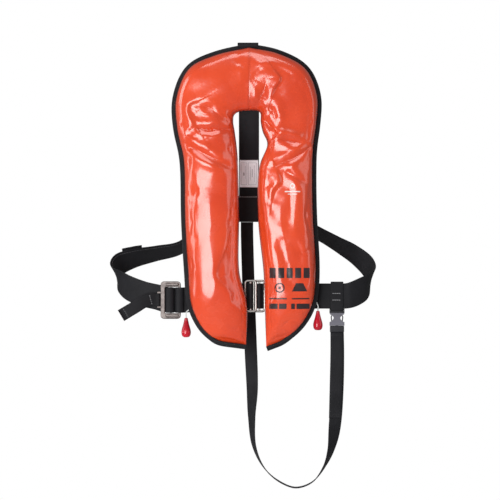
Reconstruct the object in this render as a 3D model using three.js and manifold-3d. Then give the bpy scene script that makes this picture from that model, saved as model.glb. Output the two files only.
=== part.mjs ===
// Inflatable life jacket, harness type, twin chamber.
// Millimetres. +X to the right as seen from the front, +Z up, the front faces -Y.
// The origin is the middle of the collar's inner top edge, where the jacket hangs on the neck.

import * as THREE from 'three';
import Module from 'manifold-3d';
import { mergeVertices } from 'three/addons/utils/BufferGeometryUtils.js';

// ---------------------------------------------------------------- driving dimensions

// Cover, outside of the binding.
const COLLAR_TOP = 131; // height of the collar above its inner top edge
const COLLAR_HALF = 146; // half width over the collar
const LOBE_END = -470; // height of the lobe ends
const SKEW = 4.5; // how far the worn cover hangs to the left
const CROWN = 46; // depth of the padded front over the seam plane
const WALL = 2; // folded fabric of the cover
const BINDING = 7.5; // width of the bound edge
const BINDING_DEPTH = 8;

// Webbing.
const BELT = 50;
const BACK_STRAP = 40;
const CROTCH_STRAP = 25;
const WEBBING = 1.8; // thickness
const BELT_LINE = LOBE_END + 104; // height of the front belts
const BELT_Y = 22; // depth of the front belts
const BACK_Y = 110; // depth of the belt at the back
const BACK_LOOP_Z = -191;

// Stainless rings.
const WIRE = 4.5;
const RING_WIDTH = 25.6;
const RING_MARGIN = 7.3; // ring height over the belt, each end
const RING_Y = 9.5;

// Adjuster buckle.
const FRAME_WIDTH = 40;
const FRAME_THICK = 4;
const FRAME_RAIL = 11.5; // height of the top and bottom rails
const BAR_RADIUS = 2.6;

// Side-release buckle.
const SNAP_WIDTH = 29.4;
const SNAP_THICK = 8;
const SNAP_HEIGHT = 45;

// Inflators.
const CYLINDER_RADIUS = 15.5;
const CYLINDER_LENGTH = 128;
const TOGGLE_LENGTH = 38;
const TOGGLE_RADIUS = 9.4;
const CORD_RADIUS = 1.2;

const GAP = 0.3; // clearance between touching pieces

// ---------------------------------------------------------------- materials

const material = (color, roughness, metalness = 0) =>
  new THREE.MeshStandardMaterial({ color, roughness, metalness });

const FINISH = {
  cover: material(0xe85430, 0.22),
  lining: material(0xd8492a, 0.5),
  binding: material(0x17171a, 0.75),
  webbing: material(0x1d1d20, 0.8),
  label: material(0xe9e6e0, 0.6),
  steel: material(0xc9c6c4, 0.2, 1),
  buckle: material(0xa59690, 0.45, 0.9),
  plastic: material(0x4a4a52, 0.5),
  toggle: material(0xc8142f, 0.25),
  cord: material(0xe8ecea, 0.5),
  bladder: material(0xe6b51e, 0.55),
  tape: material(0x2a2a2c, 0.9),
  inflator: material(0x2b2d31, 0.5),
  cylinder: material(0xbfc1c4, 0.3, 1),
  brass: material(0xb8963c, 0.35, 1),
  whistle: material(0xf0a018, 0.35),
  lens: material(0xf2f4f6, 0.15),
};

// ---------------------------------------------------------------- geometry helpers

const wasm = await Module();
wasm.setup();

const group = new THREE.Group();

function add(name, geometry, finish, parent = group) {
  const mesh = new THREE.Mesh(geometry, FINISH[finish]);
  mesh.name = name;
  parent.add(mesh);
  return mesh;
}

// A geometry from points and triangles, turned so that its faces point out.
function solid(points, triangles) {
  let volume = 0;
  for (const [a, b, c] of triangles) {
    volume += points[a].dot(new THREE.Vector3().crossVectors(points[b], points[c]));
  }
  const faces = volume < 0 ? triangles.map(([a, b, c]) => [a, c, b]) : triangles;
  const geometry = new THREE.BufferGeometry();
  const positions = points.flatMap((p) => [p.x, p.y, p.z]);
  geometry.setAttribute('position', new THREE.Float32BufferAttribute(positions, 3));
  geometry.setIndex(faces.flat());
  return geometry;
}

// A skin over equal rings of points; an open loft gets a flat cap at each end.
function loft(rings, closed = false) {
  const n = rings[0].length;
  const triangles = [];
  const last = closed ? rings.length : rings.length - 1;
  for (let i = 0; i < last; i++) {
    const next = (i + 1) % rings.length;
    for (let j = 0; j < n; j++) {
      const k = (j + 1) % n;
      triangles.push([i * n + j, next * n + j, next * n + k]);
      triangles.push([i * n + j, next * n + k, i * n + k]);
    }
  }
  if (!closed) {
    const end = (rings.length - 1) * n;
    for (let j = 1; j < n - 1; j++) {
      triangles.push([0, j, j + 1]);
      triangles.push([end, end + j + 1, end + j]);
    }
  }
  return solid(rings.flat(), triangles);
}

// A solid between two grids of the same size, closed all round their border.
function shell(outer, inner) {
  const rows = outer.length;
  const columns = outer[0].length;
  const count = rows * columns;
  const at = (i, j) => i * columns + j;
  const triangles = [];
  for (let i = 0; i < rows - 1; i++) {
    for (let j = 0; j < columns - 1; j++) {
      const [a, b, c, d] = [at(i, j), at(i, j + 1), at(i + 1, j + 1), at(i + 1, j)];
      triangles.push([a, b, c], [a, c, d]);
      triangles.push([a + count, c + count, b + count], [a + count, d + count, c + count]);
    }
  }
  const border = [];
  for (let j = 0; j < columns - 1; j++) border.push(at(0, j));
  for (let i = 0; i < rows - 1; i++) border.push(at(i, columns - 1));
  for (let j = columns - 1; j > 0; j--) border.push(at(rows - 1, j));
  for (let i = rows - 1; i > 0; i--) border.push(at(i, 0));
  border.forEach((a, i) => {
    const b = border[(i + 1) % border.length];
    triangles.push([a, a + count, b + count], [a, b + count, b]);
  });
  return solid([...outer.flat(), ...inner.flat()], triangles);
}

// Boolean work on closed geometries.
function toManifold(geometry) {
  const bare = geometry.clone();
  bare.deleteAttribute('normal');
  bare.deleteAttribute('uv');
  const merged = mergeVertices(bare, 1e-4);
  return new wasm.Manifold(new wasm.Mesh({
    numProp: 3,
    vertProperties: Float32Array.from(merged.attributes.position.array),
    triVerts: Uint32Array.from(merged.index.array),
  }));
}

function fromManifold(manifold) {
  const mesh = manifold.getMesh();
  const geometry = new THREE.BufferGeometry();
  const positions = new THREE.Float32BufferAttribute(mesh.vertProperties, 3);
  geometry.setAttribute('position', positions);
  geometry.setIndex(Array.from(mesh.triVerts));
  return geometry;
}

function combine(joined, cut = []) {
  let result = toManifold(joined[0]);
  for (const piece of joined.slice(1)) result = result.add(toManifold(piece));
  for (const piece of cut) result = result.subtract(toManifold(piece));
  return fromManifold(result);
}

const box = (x, y, z, cx, cy, cz) => new THREE.BoxGeometry(x, y, z).translate(cx, cy, cz);

const rodY = (radius, length, x, y, z, sides = 12) =>
  new THREE.CylinderGeometry(radius, radius, length, sides).translate(x, y, z);

const rodZ = (radius, length, x, y, z, sides = 12) =>
  new THREE.CylinderGeometry(radius, radius, length, sides).rotateX(Math.PI / 2).translate(x, y, z);

// An outline in the X-Y plane, extruded along Z about a middle height.
function extrudeZ(shape, height, z) {
  const geometry = new THREE.ExtrudeGeometry(shape, {
    depth: height, bevelEnabled: false, curveSegments: 6,
  });
  return geometry.translate(0, 0, z - height / 2);
}

// A webbing band round a bar that stands along Z.
function bandZ(x, y, inside, height, z) {
  const shape = new THREE.Shape().absarc(x, y, inside + WEBBING, 0, 2 * Math.PI, false);
  shape.holes.push(new THREE.Path().absarc(x, y, inside, 0, 2 * Math.PI, true));
  return extrudeZ(shape, height, z);
}

// A straight run of webbing on edge between two points of the X-Y plane.
function runZ(a, b, height, z) {
  const along = new THREE.Vector2().subVectors(b, a).normalize();
  const side = new THREE.Vector2(-along.y, along.x).multiplyScalar(WEBBING / 2);
  const corners = [[a, 1], [b, 1], [b, -1], [a, -1]].map(([p, s]) => p.clone().addScaledVector(side, s));
  return extrudeZ(new THREE.Shape(corners), height, z);
}

// Flat webbing along a route. Each stop is [x, y, z, wx, wy, wz]: a point of the centre line and
// the direction of the width there.
function ribbonRings(route, width, steps, { thick = WEBBING, offset = 0, from = 0, to = 1 } = {}) {
  const centre = new THREE.CatmullRomCurve3(route.map((s) => new THREE.Vector3(s[0], s[1], s[2])));
  const across = new THREE.CatmullRomCurve3(route.map((s) => new THREE.Vector3(s[3], s[4], s[5])));
  const rings = [];
  for (let i = 0; i <= steps; i++) {
    const t = from + ((to - from) * i) / steps;
    const along = centre.getTangent(t);
    const w = across.getPoint(t);
    w.addScaledVector(along, -w.dot(along)).normalize();
    const n = new THREE.Vector3().crossVectors(along, w);
    const middle = centre.getPoint(t).addScaledVector(n, offset);
    rings.push([[-1, -1], [1, -1], [1, 1], [-1, 1]].map(([a, b]) => middle.clone()
      .addScaledVector(w, (a * width) / 2)
      .addScaledVector(n, (b * thick) / 2)));
  }
  return rings;
}

const ribbon = (route, width, steps, options) => loft(ribbonRings(route, width, steps, options));

// A round bar or cord along a curve.
function tube(points, radius, steps, sides) {
  const curve = new THREE.CatmullRomCurve3(points.map((p) => new THREE.Vector3(...p)));
  const section = new THREE.Shape();
  for (let i = 0; i < sides; i++) {
    const a = (2 * Math.PI * i) / sides;
    const x = radius * Math.cos(a);
    const y = radius * Math.sin(a);
    if (i === 0) section.moveTo(x, y);
    else section.lineTo(x, y);
  }
  section.closePath();
  return new THREE.ExtrudeGeometry(section, {
    steps, bevelEnabled: false, extrudePath: curve,
  });
}

// ---------------------------------------------------------------- cover outline

// One half of the horseshoe as stations from the middle of the collar to the lobe's end:
// [outer x as a share of the half width, outer z, inner x, inner z, crown as a share].
// These are the cover's own edges, inside the binding.
const TOP = COLLAR_TOP - BINDING;
const END = LOBE_END + BINDING;

const HALVES = {
  left: {
    sign: -1,
    half: COLLAR_HALF + SKEW - BINDING,
    stations: [
      [0.0, TOP, 0, 0, 0.9],
      [0.46, TOP - 15, 18, -2, 0.95],
      [0.82, TOP - 41, 29, -9, 0.97],
      [1.0, TOP - 100, 31, -22, 0.95],
      [0.99, TOP - 158, 28, -42, 0.95],
      [0.9, TOP - 220, 22.5, -90, 0.97],
      [0.88, TOP - 335, 19.5, -212, 1.05],
      [0.84, END + 150, 19, END + 145, 1],
      [0.79, END + 78, 4.5, END + 84, 0.78],
      [0.64, END + 34, 4, END + 36, 0.5],
      [0.43, END + 7, 6, END, 0],
    ],
  },
  right: {
    sign: 1,
    half: COLLAR_HALF - SKEW - BINDING,
    stations: [
      [0.0, TOP, 0, 0, 0.9],
      [0.43, TOP - 12, 17, -1, 0.95],
      [0.83, TOP - 42, 22.5, -6, 0.97],
      [1.0, TOP - 95, 23, -22, 0.95],
      [0.99, TOP - 148, 27, -42, 0.9],
      [0.94, TOP - 200, 36, -66, 0.9],
      [0.93, TOP - 250, 20, -112, 1],
      [0.94, TOP - 335, 18, -215, 1.05],
      [0.98, END + 146, 28.5, END + 145, 1],
      [0.93, END + 82, 31, END + 80, 0.8],
      [0.76, END + 40, 32.5, END + 36, 0.5],
      [0.49, END + 8, 34, END - 4, 0],
    ],
  },
};

// Outer point, inner point and crown of one half at a share t of its stations.
function coverStation(side, t, inset = 0) {
  const { sign, half, stations } = HALVES[side];
  const outer = new THREE.CatmullRomCurve3(
    stations.map((s) => new THREE.Vector3(sign * half * s[0], 0, s[1])));
  const inner = new THREE.CatmullRomCurve3(
    stations.map((s) => new THREE.Vector3(sign * s[2], s[4] * CROWN, s[3])));
  const a = outer.getPoint(t);
  const b = inner.getPoint(t);
  const crown = Math.max(b.y, 0);
  b.y = 0;
  const across = b.clone().sub(a).normalize();
  a.addScaledVector(across, inset);
  b.addScaledVector(across, -inset);
  return { a, b, crown };
}

const SEAM_Y = 3; // plane in which the front shells end and the back panel begins
const ACROSS = 10; // cells across the padded front
const ALONG = 22; // cells along each half

// A padded front: the dome over one half, thinner by the wall for its inner face.
function dome(side, inset) {
  const rows = [];
  for (let i = 0; i <= ALONG; i++) {
    const t = Math.min(i / ALONG, 1 - inset / 400);
    const { a, b, crown } = coverStation(side, t, inset);
    if (i === 0) {
      a.x += HALVES[side].sign * GAP / 2;
      b.x += HALVES[side].sign * GAP / 2;
    }
    const height = i === ALONG ? 0 : Math.max(crown - inset, 0.2);
    const row = [];
    for (let j = 0; j <= ACROSS; j++) {
      const angle = (Math.PI * j) / ACROSS;
      const p = a.clone().lerp(b, (1 - Math.cos(angle)) / 2);
      p.y = SEAM_Y - height * Math.sin(angle) ** 0.6;
      if (j === 0 || j === ACROSS) p.y = SEAM_Y;
      row.push(p);
    }
    rows.push(row);
  }
  return rows;
}

for (const side of ['left', 'right']) {
  add(`cover_front_${side}`, shell(dome(side, 0), dome(side, WALL)), 'cover');
}

// All stations of the cover in one run, from the left lobe's end over the collar to the right's.
function wholeCover(cells, inset = 0, last = 1) {
  const run = [];
  for (let i = cells; i > 0; i--) run.push(coverStation('left', (last * i) / cells, inset));
  for (let i = 0; i <= cells; i++) run.push(coverStation('right', (last * i) / cells, inset));
  return run;
}

const BACK_FACE = SEAM_Y + GAP + WALL; // rear face of the back panel

function backPanel() {
  const sheet = (y) => wholeCover(ALONG).map(({ a, b }) => [0, 1 / 3, 2 / 3, 1].map((s) => {
    const p = a.clone().lerp(b, s);
    p.y = y;
    return p;
  }));
  return shell(sheet(BACK_FACE), sheet(SEAM_Y + GAP));
}

// A place across the cover, as a share of its half width.
const acrossCover = (side, share) => HALVES[side].sign * HALVES[side].half * share;

// Where each inflator's cord leaves the back panel.
const CORD_PORT = {
  left: new THREE.Vector3(acrossCover('left', 0.706), 0, BELT_LINE - 11),
  right: new THREE.Vector3(acrossCover('right', 0.836), 0, BELT_LINE + 19),
};
const PORT_RADIUS = 5;

const ports = Object.values(CORD_PORT).map((p) =>
  new THREE.CylinderGeometry(PORT_RADIUS, PORT_RADIUS, 12, 12).translate(p.x, BACK_FACE - 1, p.z));
add('cover_back', combine([backPanel()], ports), 'lining');

// ---------------------------------------------------------------- binding

// The bound edge follows the outer edge and the lobe ends, just outside the cover.
function bindingPath() {
  const run = wholeCover(ALONG);
  const edge = run.map((s) => s.a);
  edge.unshift(run[0].b.clone().lerp(run[0].a, 0.5));
  edge.unshift(run[0].b.clone());
  edge.push(run.at(-1).b.clone().lerp(run.at(-1).a, 0.5));
  edge.push(run.at(-1).b.clone());
  return edge;
}

function binding() {
  const edge = bindingPath();
  const near = GAP;
  const far = BINDING;
  const front = SEAM_Y - BINDING_DEPTH / 2 - 1;
  const back = SEAM_Y + BINDING_DEPTH / 2 - 1;
  return loft(edge.map((p, i) => {
    const along = edge[Math.min(i + 1, edge.length - 1)].clone()
      .sub(edge[Math.max(i - 1, 0)]).normalize();
    const out = new THREE.Vector3(-along.z, 0, along.x);
    return [[near, front], [far - 1.5, front], [far, front + 2], [far, back - 2],
      [far - 1.5, back], [near, back]].map(([d, y]) => {
      const q = p.clone().addScaledVector(out, d);
      q.y = y;
      return q;
    });
  }));
}
add('edge_binding', binding(), 'binding');

// Strap patch folded over the binding at the top of the collar.
const PATCH_WIDTH = BACK_STRAP + 1;
const PATCH_Z = COLLAR_TOP - 1;
const patch = combine(
  [box(PATCH_WIDTH, BINDING_DEPTH + 5, 9, -2, SEAM_Y - 1, PATCH_Z - 1)],
  [box(PATCH_WIDTH + 4, BINDING_DEPTH + 2, 9, -2, SEAM_Y - 1, PATCH_Z - 3)],
);
add('collar_patch', patch, 'webbing');

// ---------------------------------------------------------------- chambers and closure

// A folded chamber: a flattened bar that runs down both lobes and round the collar.
function chamber(innerMargin, width, y, depth, last) {
  const run = wholeCover(20, 0, last);
  return loft(run.map(({ a, b }) => {
    const out = a.clone().sub(b).normalize();
    const middle = b.clone().addScaledVector(out, innerMargin + width / 2);
    const ring = [];
    for (let j = 0; j < 8; j++) {
      const angle = (2 * Math.PI * (j + 0.5)) / 8;
      const q = middle.clone().addScaledVector(out, (width / 2) * Math.cos(angle));
      q.y = y + (depth / 2) * Math.sin(angle);
      ring.push(q);
    }
    return ring;
  }));
}
const CHAMBER = { margin: 8, width: 24, depth: 11.5, last: 0.76 };
for (const [name, y] of [['bladder_main', SEAM_Y - 20.5], ['bladder_backup', SEAM_Y - 7.5]]) {
  add(name, chamber(CHAMBER.margin, CHAMBER.width, y, CHAMBER.depth, CHAMBER.last), 'bladder');
}

// Hook-and-loop closure along the inner edge of each lobe.
function closureTape(side) {
  const rings = [];
  for (let i = 0; i <= 10; i++) {
    const { a, b } = coverStation(side, 0.5 + (0.28 * i) / 10);
    const out = a.clone().sub(b).normalize();
    rings.push([[5, -11], [6.5, -11], [6.5, 1], [5, 1]].map(([d, y]) => {
      const q = b.clone().addScaledVector(out, d);
      q.y = y;
      return q;
    }));
  }
  return loft(rings);
}

// ---------------------------------------------------------------- inflators

const INFLATOR = { width: 20, depth: 20, height: 40 };
const INFLATOR_Y = -15;
const PIVOT_OFFSET = 3.5; // lever pivot, out from the body's side
const PIVOT_RADIUS = 1.5;
const BORE = 4.3;
const PIN = { radius: 2.6, length: 16, travel: 3 };
const LEVER_LENGTH = 17;
const NECK = { radius: 4, length: 14 };

const side2d = (points) => new THREE.LatheGeometry(points.map(([r, z]) => new THREE.Vector2(r, z)), 14)
  .rotateX(Math.PI / 2);

const TOGGLE_DEPTH = 10.5; // toggles hang just behind the binding
const TOGGLE_TOP = {
  left: new THREE.Vector3(acrossCover('left', 0.867), TOGGLE_DEPTH, BELT_LINE - 43),
  right: new THREE.Vector3(acrossCover('right', 1.015), TOGGLE_DEPTH, BELT_LINE - 29),
};
const INFLATOR_RISE = 12; // inflator's middle over its cord port
const cylinderStart = (side) =>
  CORD_PORT[side].z + INFLATOR_RISE + INFLATOR.height / 2 - NECK.length;

for (const side of ['left', 'right']) {
  const { sign } = HALVES[side];
  add(`closure_tape_${side}`, closureTape(side), 'tape');

  // Inflator body with a bore: the cylinder's neck comes in from above, the pin from below.
  const x = CORD_PORT[side].x - sign * 30;
  const z = CORD_PORT[side].z + INFLATOR_RISE;
  const pivotX = x + sign * (INFLATOR.width / 2 + PIVOT_OFFSET);
  const body = combine(
    [box(INFLATOR.width, INFLATOR.depth, INFLATOR.height, x, INFLATOR_Y, z),
      box(8, 6, 10, pivotX - sign * 1, INFLATOR_Y - 6, z), rodY(PIVOT_RADIUS, 6, pivotX, INFLATOR_Y - 1, z)],
    [rodZ(BORE, INFLATOR.height + 2, x, INFLATOR_Y, z, 14)],
  );
  add(`inflator_body_${side}`, body, 'inflator');

  // Gas cylinder, standing on the inflator.
  const start = cylinderStart(side);
  const cylinder = side2d([
    [0, 0], [NECK.radius, 0], [NECK.radius, NECK.length + 1], [9, NECK.length + 5],
    [CYLINDER_RADIUS, NECK.length + 14], [CYLINDER_RADIUS, CYLINDER_LENGTH - 10],
    [10, CYLINDER_LENGTH - 2], [0, CYLINDER_LENGTH],
  ]).translate(x, INFLATOR_Y, start);
  add(`gas_cylinder_${side}`, cylinder, 'cylinder');

  // Piercing pin, below the cylinder's neck with room for its travel.
  const pinZ = start - PIN.travel - 1 - PIN.length / 2;
  add(`piercing_pin_${side}`, rodZ(PIN.radius, PIN.length, x, INFLATOR_Y, pinZ), 'brass');

  // Lever on the pivot at the body's outer side.
  const lever = combine(
    [box(LEVER_LENGTH + 3, 4, 5, pivotX + sign * (LEVER_LENGTH / 2), INFLATOR_Y - 0.7, z)],
    [rodY(PIVOT_RADIUS + GAP, 8, pivotX, INFLATOR_Y, z)],
  );
  add(`inflator_lever_${side}`, lever, 'toggle');

  // Grommet in the back panel.
  const port = CORD_PORT[side];
  const grommet = new THREE.LatheGeometry([
    [2.2, -2.2], [PORT_RADIUS - GAP, -2.2], [PORT_RADIUS - GAP, WALL / 2 + GAP],
    [7, WALL / 2 + GAP], [7, WALL / 2 + GAP + 1], [2.2, WALL / 2 + GAP + 1], [2.2, -2.2],
  ].map(([r, h]) => new THREE.Vector2(r, h)), 14);
  add(`cord_grommet_${side}`, grommet.translate(port.x, SEAM_Y + GAP + WALL / 2, port.z), 'inflator');

  // Pull cord: lever end, through the grommet, down behind the binding to the toggle.
  const leverEnd = pivotX + sign * LEVER_LENGTH;
  const handle = TOGGLE_TOP[side];
  add(`pull_cord_${side}`, tube([
    [leverEnd - sign * 1.5, INFLATOR_Y - 0.7, z - 2.5 - 2 * GAP],
    [leverEnd - sign * 1.5, INFLATOR_Y + 1, z - 6],
    [port.x, -4, port.z + 0.5],
    [port.x, SEAM_Y + 2, port.z],
    [port.x + sign * 3, 9.6, port.z - 2],
    [(port.x + handle.x) / 2, TOGGLE_DEPTH, (port.z * 2 + handle.z) / 3],
    [handle.x, TOGGLE_DEPTH, handle.z + 10],
    [handle.x, TOGGLE_DEPTH, handle.z + GAP],
  ], CORD_RADIUS, 24, 8), 'cord');

  // Teardrop toggle.
  const toggle = side2d([
    [0, -TOGGLE_LENGTH], [TOGGLE_RADIUS * 0.45, -TOGGLE_LENGTH],
    [TOGGLE_RADIUS * 0.8, -TOGGLE_LENGTH * 0.94], [TOGGLE_RADIUS, -TOGGLE_LENGTH * 0.76],
    [TOGGLE_RADIUS * 0.89, -TOGGLE_LENGTH * 0.57], [TOGGLE_RADIUS * 0.64, -TOGGLE_LENGTH * 0.36],
    [TOGGLE_RADIUS * 0.4, -TOGGLE_LENGTH * 0.12], [2.6, 0], [0, 0],
  ]).translate(handle.x, handle.y, handle.z);
  add(`pull_toggle_${side}`, toggle, 'toggle');
}

// ---------------------------------------------------------------- small gear inside

// The gear lies in the lobes above the gas cylinders.
const GEAR_Y = -12;
const GEAR_Z = cylinderStart('right') + CYLINDER_LENGTH + 81;
const ORAL = { radius: 5, length: 76, capRadius: 6.4, capLength: 10 };
for (const side of ['left', 'right']) {
  const x = HALVES[side].sign * 84;
  const capZ = GEAR_Z + (ORAL.length + ORAL.capLength) / 2 + GAP;
  add(`oral_tube_${side}`, rodZ(ORAL.radius, ORAL.length, x, GEAR_Y, GEAR_Z), 'inflator');
  add(`oral_cap_${side}`, rodZ(ORAL.capRadius, ORAL.capLength, x, GEAR_Y, capZ), 'toggle');
}

// Pea whistle: barrel, mouthpiece and window.
const WHISTLE_X = -108;
add('whistle', combine(
  [rodZ(5, 34, WHISTLE_X, GEAR_Y, GEAR_Z), box(9, 5, 10, WHISTLE_X, GEAR_Y, GEAR_Z - 21)],
  [box(12, 4, 3, WHISTLE_X, GEAR_Y - 3.5, GEAR_Z + 8)],
), 'whistle');

// Light: battery case and domed lens.
const LIGHT = { x: 106, y: GEAR_Y + 1, width: 22, depth: 13, height: 42 };
const LIGHT_Z = GEAR_Z - 2;
add('light_case', box(LIGHT.width, LIGHT.depth, LIGHT.height, LIGHT.x, LIGHT.y, LIGHT_Z), 'inflator');
const lens = side2d([[0, 0], [8, 0], [8, 6], [5.6, 11], [0, 13]]);
add('light_lens', lens.translate(LIGHT.x, LIGHT.y, LIGHT_Z + LIGHT.height / 2 + GAP), 'lens');

// Lifting loop: a closed band of webbing.
const LIFT = { x: -88, z: cylinderStart('left') + CYLINDER_LENGTH + 26, across: 9, high: 22, width: 20 };
const LIFT_WALL = 2.2;
const loopShape = new THREE.Shape().absellipse(LIFT.x, LIFT.z, LIFT.across, LIFT.high, 0, 2 * Math.PI);
loopShape.holes.push(new THREE.Path().absellipse(
  LIFT.x, LIFT.z, LIFT.across - LIFT_WALL, LIFT.high - LIFT_WALL, 0, 2 * Math.PI, true));
add('lifting_loop', new THREE.ExtrudeGeometry(loopShape, {
  depth: LIFT.width, bevelEnabled: false, curveSegments: 10,
}).rotateX(Math.PI / 2).translate(0, -2, 0), 'webbing');

// ---------------------------------------------------------------- stainless rings

const RING_HEIGHT = BELT + 2 * RING_MARGIN;
const RING_X = { left: 3.2, right: 20.2 }; // middle bars
const RING_DEPTH = { left: RING_Y, right: RING_Y + 5 };
const BAND_INSIDE = WIRE / 2 + GAP;

// A three-bar ring of round wire: a rounded rectangle with a middle bar.
function ring(x, y) {
  const w = (RING_WIDTH - WIRE) / 2;
  const h = (RING_HEIGHT - WIRE) / 2;
  const r = 5;
  const rings = [];
  const corners = [[w - r, h - r, 0], [-w + r, h - r, 1], [-w + r, -h + r, 2], [w - r, -h + r, 3]];
  for (const [cx, cz, quarter] of corners) {
    for (let i = 0; i <= 3; i++) {
      const angle = (Math.PI / 2) * (quarter + i / 3);
      const out = new THREE.Vector3(Math.cos(angle), 0, Math.sin(angle));
      const centre = new THREE.Vector3(x + cx, y, BELT_LINE + cz).addScaledVector(out, r);
      const section = [];
      for (let j = 0; j < 8; j++) {
        const a = (Math.PI * j) / 4;
        const q = centre.clone().addScaledVector(out, (WIRE / 2) * Math.cos(a));
        q.y += (WIRE / 2) * Math.sin(a);
        section.push(q);
      }
      rings.push(section);
    }
  }
  return combine([loft(rings, true), rodZ(WIRE / 2, 2 * h, x, y, BELT_LINE, 8)]);
}
for (const side of ['left', 'right']) {
  add(`ring_${side}`, ring(RING_X[side], RING_DEPTH[side]), 'steel');
}

// ---------------------------------------------------------------- adjuster buckle

const FRAME_HEIGHT = BELT + 2 * FRAME_RAIL + 1.3;
const FRAME_X = -154.6; // middle of the frame
const BAR_INSIDE = BAR_RADIUS + GAP;
const FRAME_Y = BELT_Y - BAR_INSIDE - WEBBING / 2;
const FRAME_RIGHT_BAR = FRAME_X + FRAME_WIDTH / 2 - BAR_RADIUS;
const SLIDE_BAR = FRAME_RIGHT_BAR - 17;
const SIDE_BAR = 8.5; // width of the left bar
const FRAME_Z = BELT_LINE - 8;
const WINDOW = BELT + 1.4;

function roundedPlate(width, height, corner, thick, x, y, z) {
  const w = width / 2 - corner;
  const h = height / 2 - corner;
  const shape = new THREE.Shape();
  shape.absarc(w, h, corner, 0, Math.PI / 2);
  shape.absarc(-w, h, corner, Math.PI / 2, Math.PI);
  shape.absarc(-w, -h, corner, Math.PI, 1.5 * Math.PI);
  shape.absarc(w, -h, corner, 1.5 * Math.PI, 2 * Math.PI);
  return new THREE.ExtrudeGeometry(shape, { depth: thick, bevelEnabled: false, curveSegments: 4 })
    .rotateX(Math.PI / 2).translate(x, y + thick / 2, z);
}

const windowWidth = FRAME_WIDTH - SIDE_BAR + 1;
const LUG = 14.4; // half distance between the lugs
const PIN_X = FRAME_X - FRAME_WIDTH / 2 - 4;
const lugs = [1, -1].map((end) => box(9, FRAME_THICK, 3.4,
  PIN_X + 2, FRAME_Y, FRAME_Z + 0.5 + end * LUG));
const frameGeometry = combine(
  [combine(
    [roundedPlate(FRAME_WIDTH, FRAME_HEIGHT, 7, FRAME_THICK, FRAME_X, FRAME_Y, FRAME_Z)],
    [box(windowWidth, FRAME_THICK + 2, WINDOW,
      FRAME_X - FRAME_WIDTH / 2 + SIDE_BAR + windowWidth / 2, FRAME_Y, FRAME_Z)],
  ), rodZ(BAR_RADIUS, WINDOW + 6, FRAME_RIGHT_BAR, FRAME_Y, FRAME_Z, 10), ...lugs],
);
add('adjuster_frame', frameGeometry, 'buckle');
add('adjuster_bar', rodZ(BAR_RADIUS, WINDOW - 2 * GAP, SLIDE_BAR, FRAME_Y, FRAME_Z, 10), 'buckle');

const TAB_PIN = 1.6;
const tabPinLength = 2 * LUG - 3.4 - 2 * GAP;
add('tab_pin', rodZ(TAB_PIN, tabPinLength, PIN_X, FRAME_Y, FRAME_Z + 0.5, 10), 'steel');

// Pull tab: a band round the pin, then a strip that hangs off to the left.
const TAB_Z = FRAME_Z + 0.5;
const TAB_ROUTE = [
  [PIN_X - TAB_PIN - GAP - 0.9, FRAME_Y - 0.4, TAB_Z, 0, 0, 1],
  [PIN_X - 14, FRAME_Y - 3, TAB_Z + 1, 0, 0, 1],
  [PIN_X - 28, FRAME_Y - 5, TAB_Z - 3, -0.12, 0.05, 1],
  [PIN_X - 44, FRAME_Y - 7, TAB_Z - 13, -0.35, 0.1, 0.9],
  [PIN_X - 74, FRAME_Y - 8, TAB_Z - 31, -0.45, 0.1, 0.88],
];
const TAB_WIDTH = CROTCH_STRAP;
add('adjuster_tab', combine([
  bandZ(PIN_X, FRAME_Y, TAB_PIN + GAP, TAB_WIDTH, TAB_Z),
  ribbon(TAB_ROUTE, TAB_WIDTH, 12),
]), 'webbing');

// ---------------------------------------------------------------- belts

const v2 = (x, y) => new THREE.Vector2(x, y);
const ringBand = BAND_INSIDE + WEBBING / 2;
const RING_RUN = { from: 1.5, to: 8.5 }; // slanting run from the bar's band to the belt

// The belt's end round a ring's middle bar, with the run back to the belt's depth.
function ringEnd(side, toward) {
  const x = RING_X[side];
  const y = RING_DEPTH[side];
  return [
    bandZ(x, y, BAND_INSIDE, BELT, BELT_LINE),
    runZ(v2(x + toward * RING_RUN.from, y + ringBand * 0.75),
      v2(x + toward * RING_RUN.to, BELT_Y), BELT, BELT_LINE),
  ];
}

// Front belt: from the left ring, behind the left lobe, round the adjuster's fixed bar.
const FRONT_ROUTE = [
  [RING_X.left - RING_RUN.to + WEBBING / 2, BELT_Y, BELT_LINE, 0, 0, 1],
  [RING_X.left - 30, BELT_Y, BELT_LINE - 1, 0, 0, 1],
  [FRAME_RIGHT_BAR + 20, BELT_Y, FRAME_Z + 1, 0, 0, 1],
  [FRAME_RIGHT_BAR, BELT_Y, FRAME_Z, 0, 0, 1],
];
add('belt_front_left', combine([
  ribbon(FRONT_ROUTE, BELT, 10),
  ...ringEnd('left', -1),
  bandZ(FRAME_RIGHT_BAR, FRAME_Y, BAR_INSIDE, BELT, FRAME_Z),
]), 'webbing');

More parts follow.
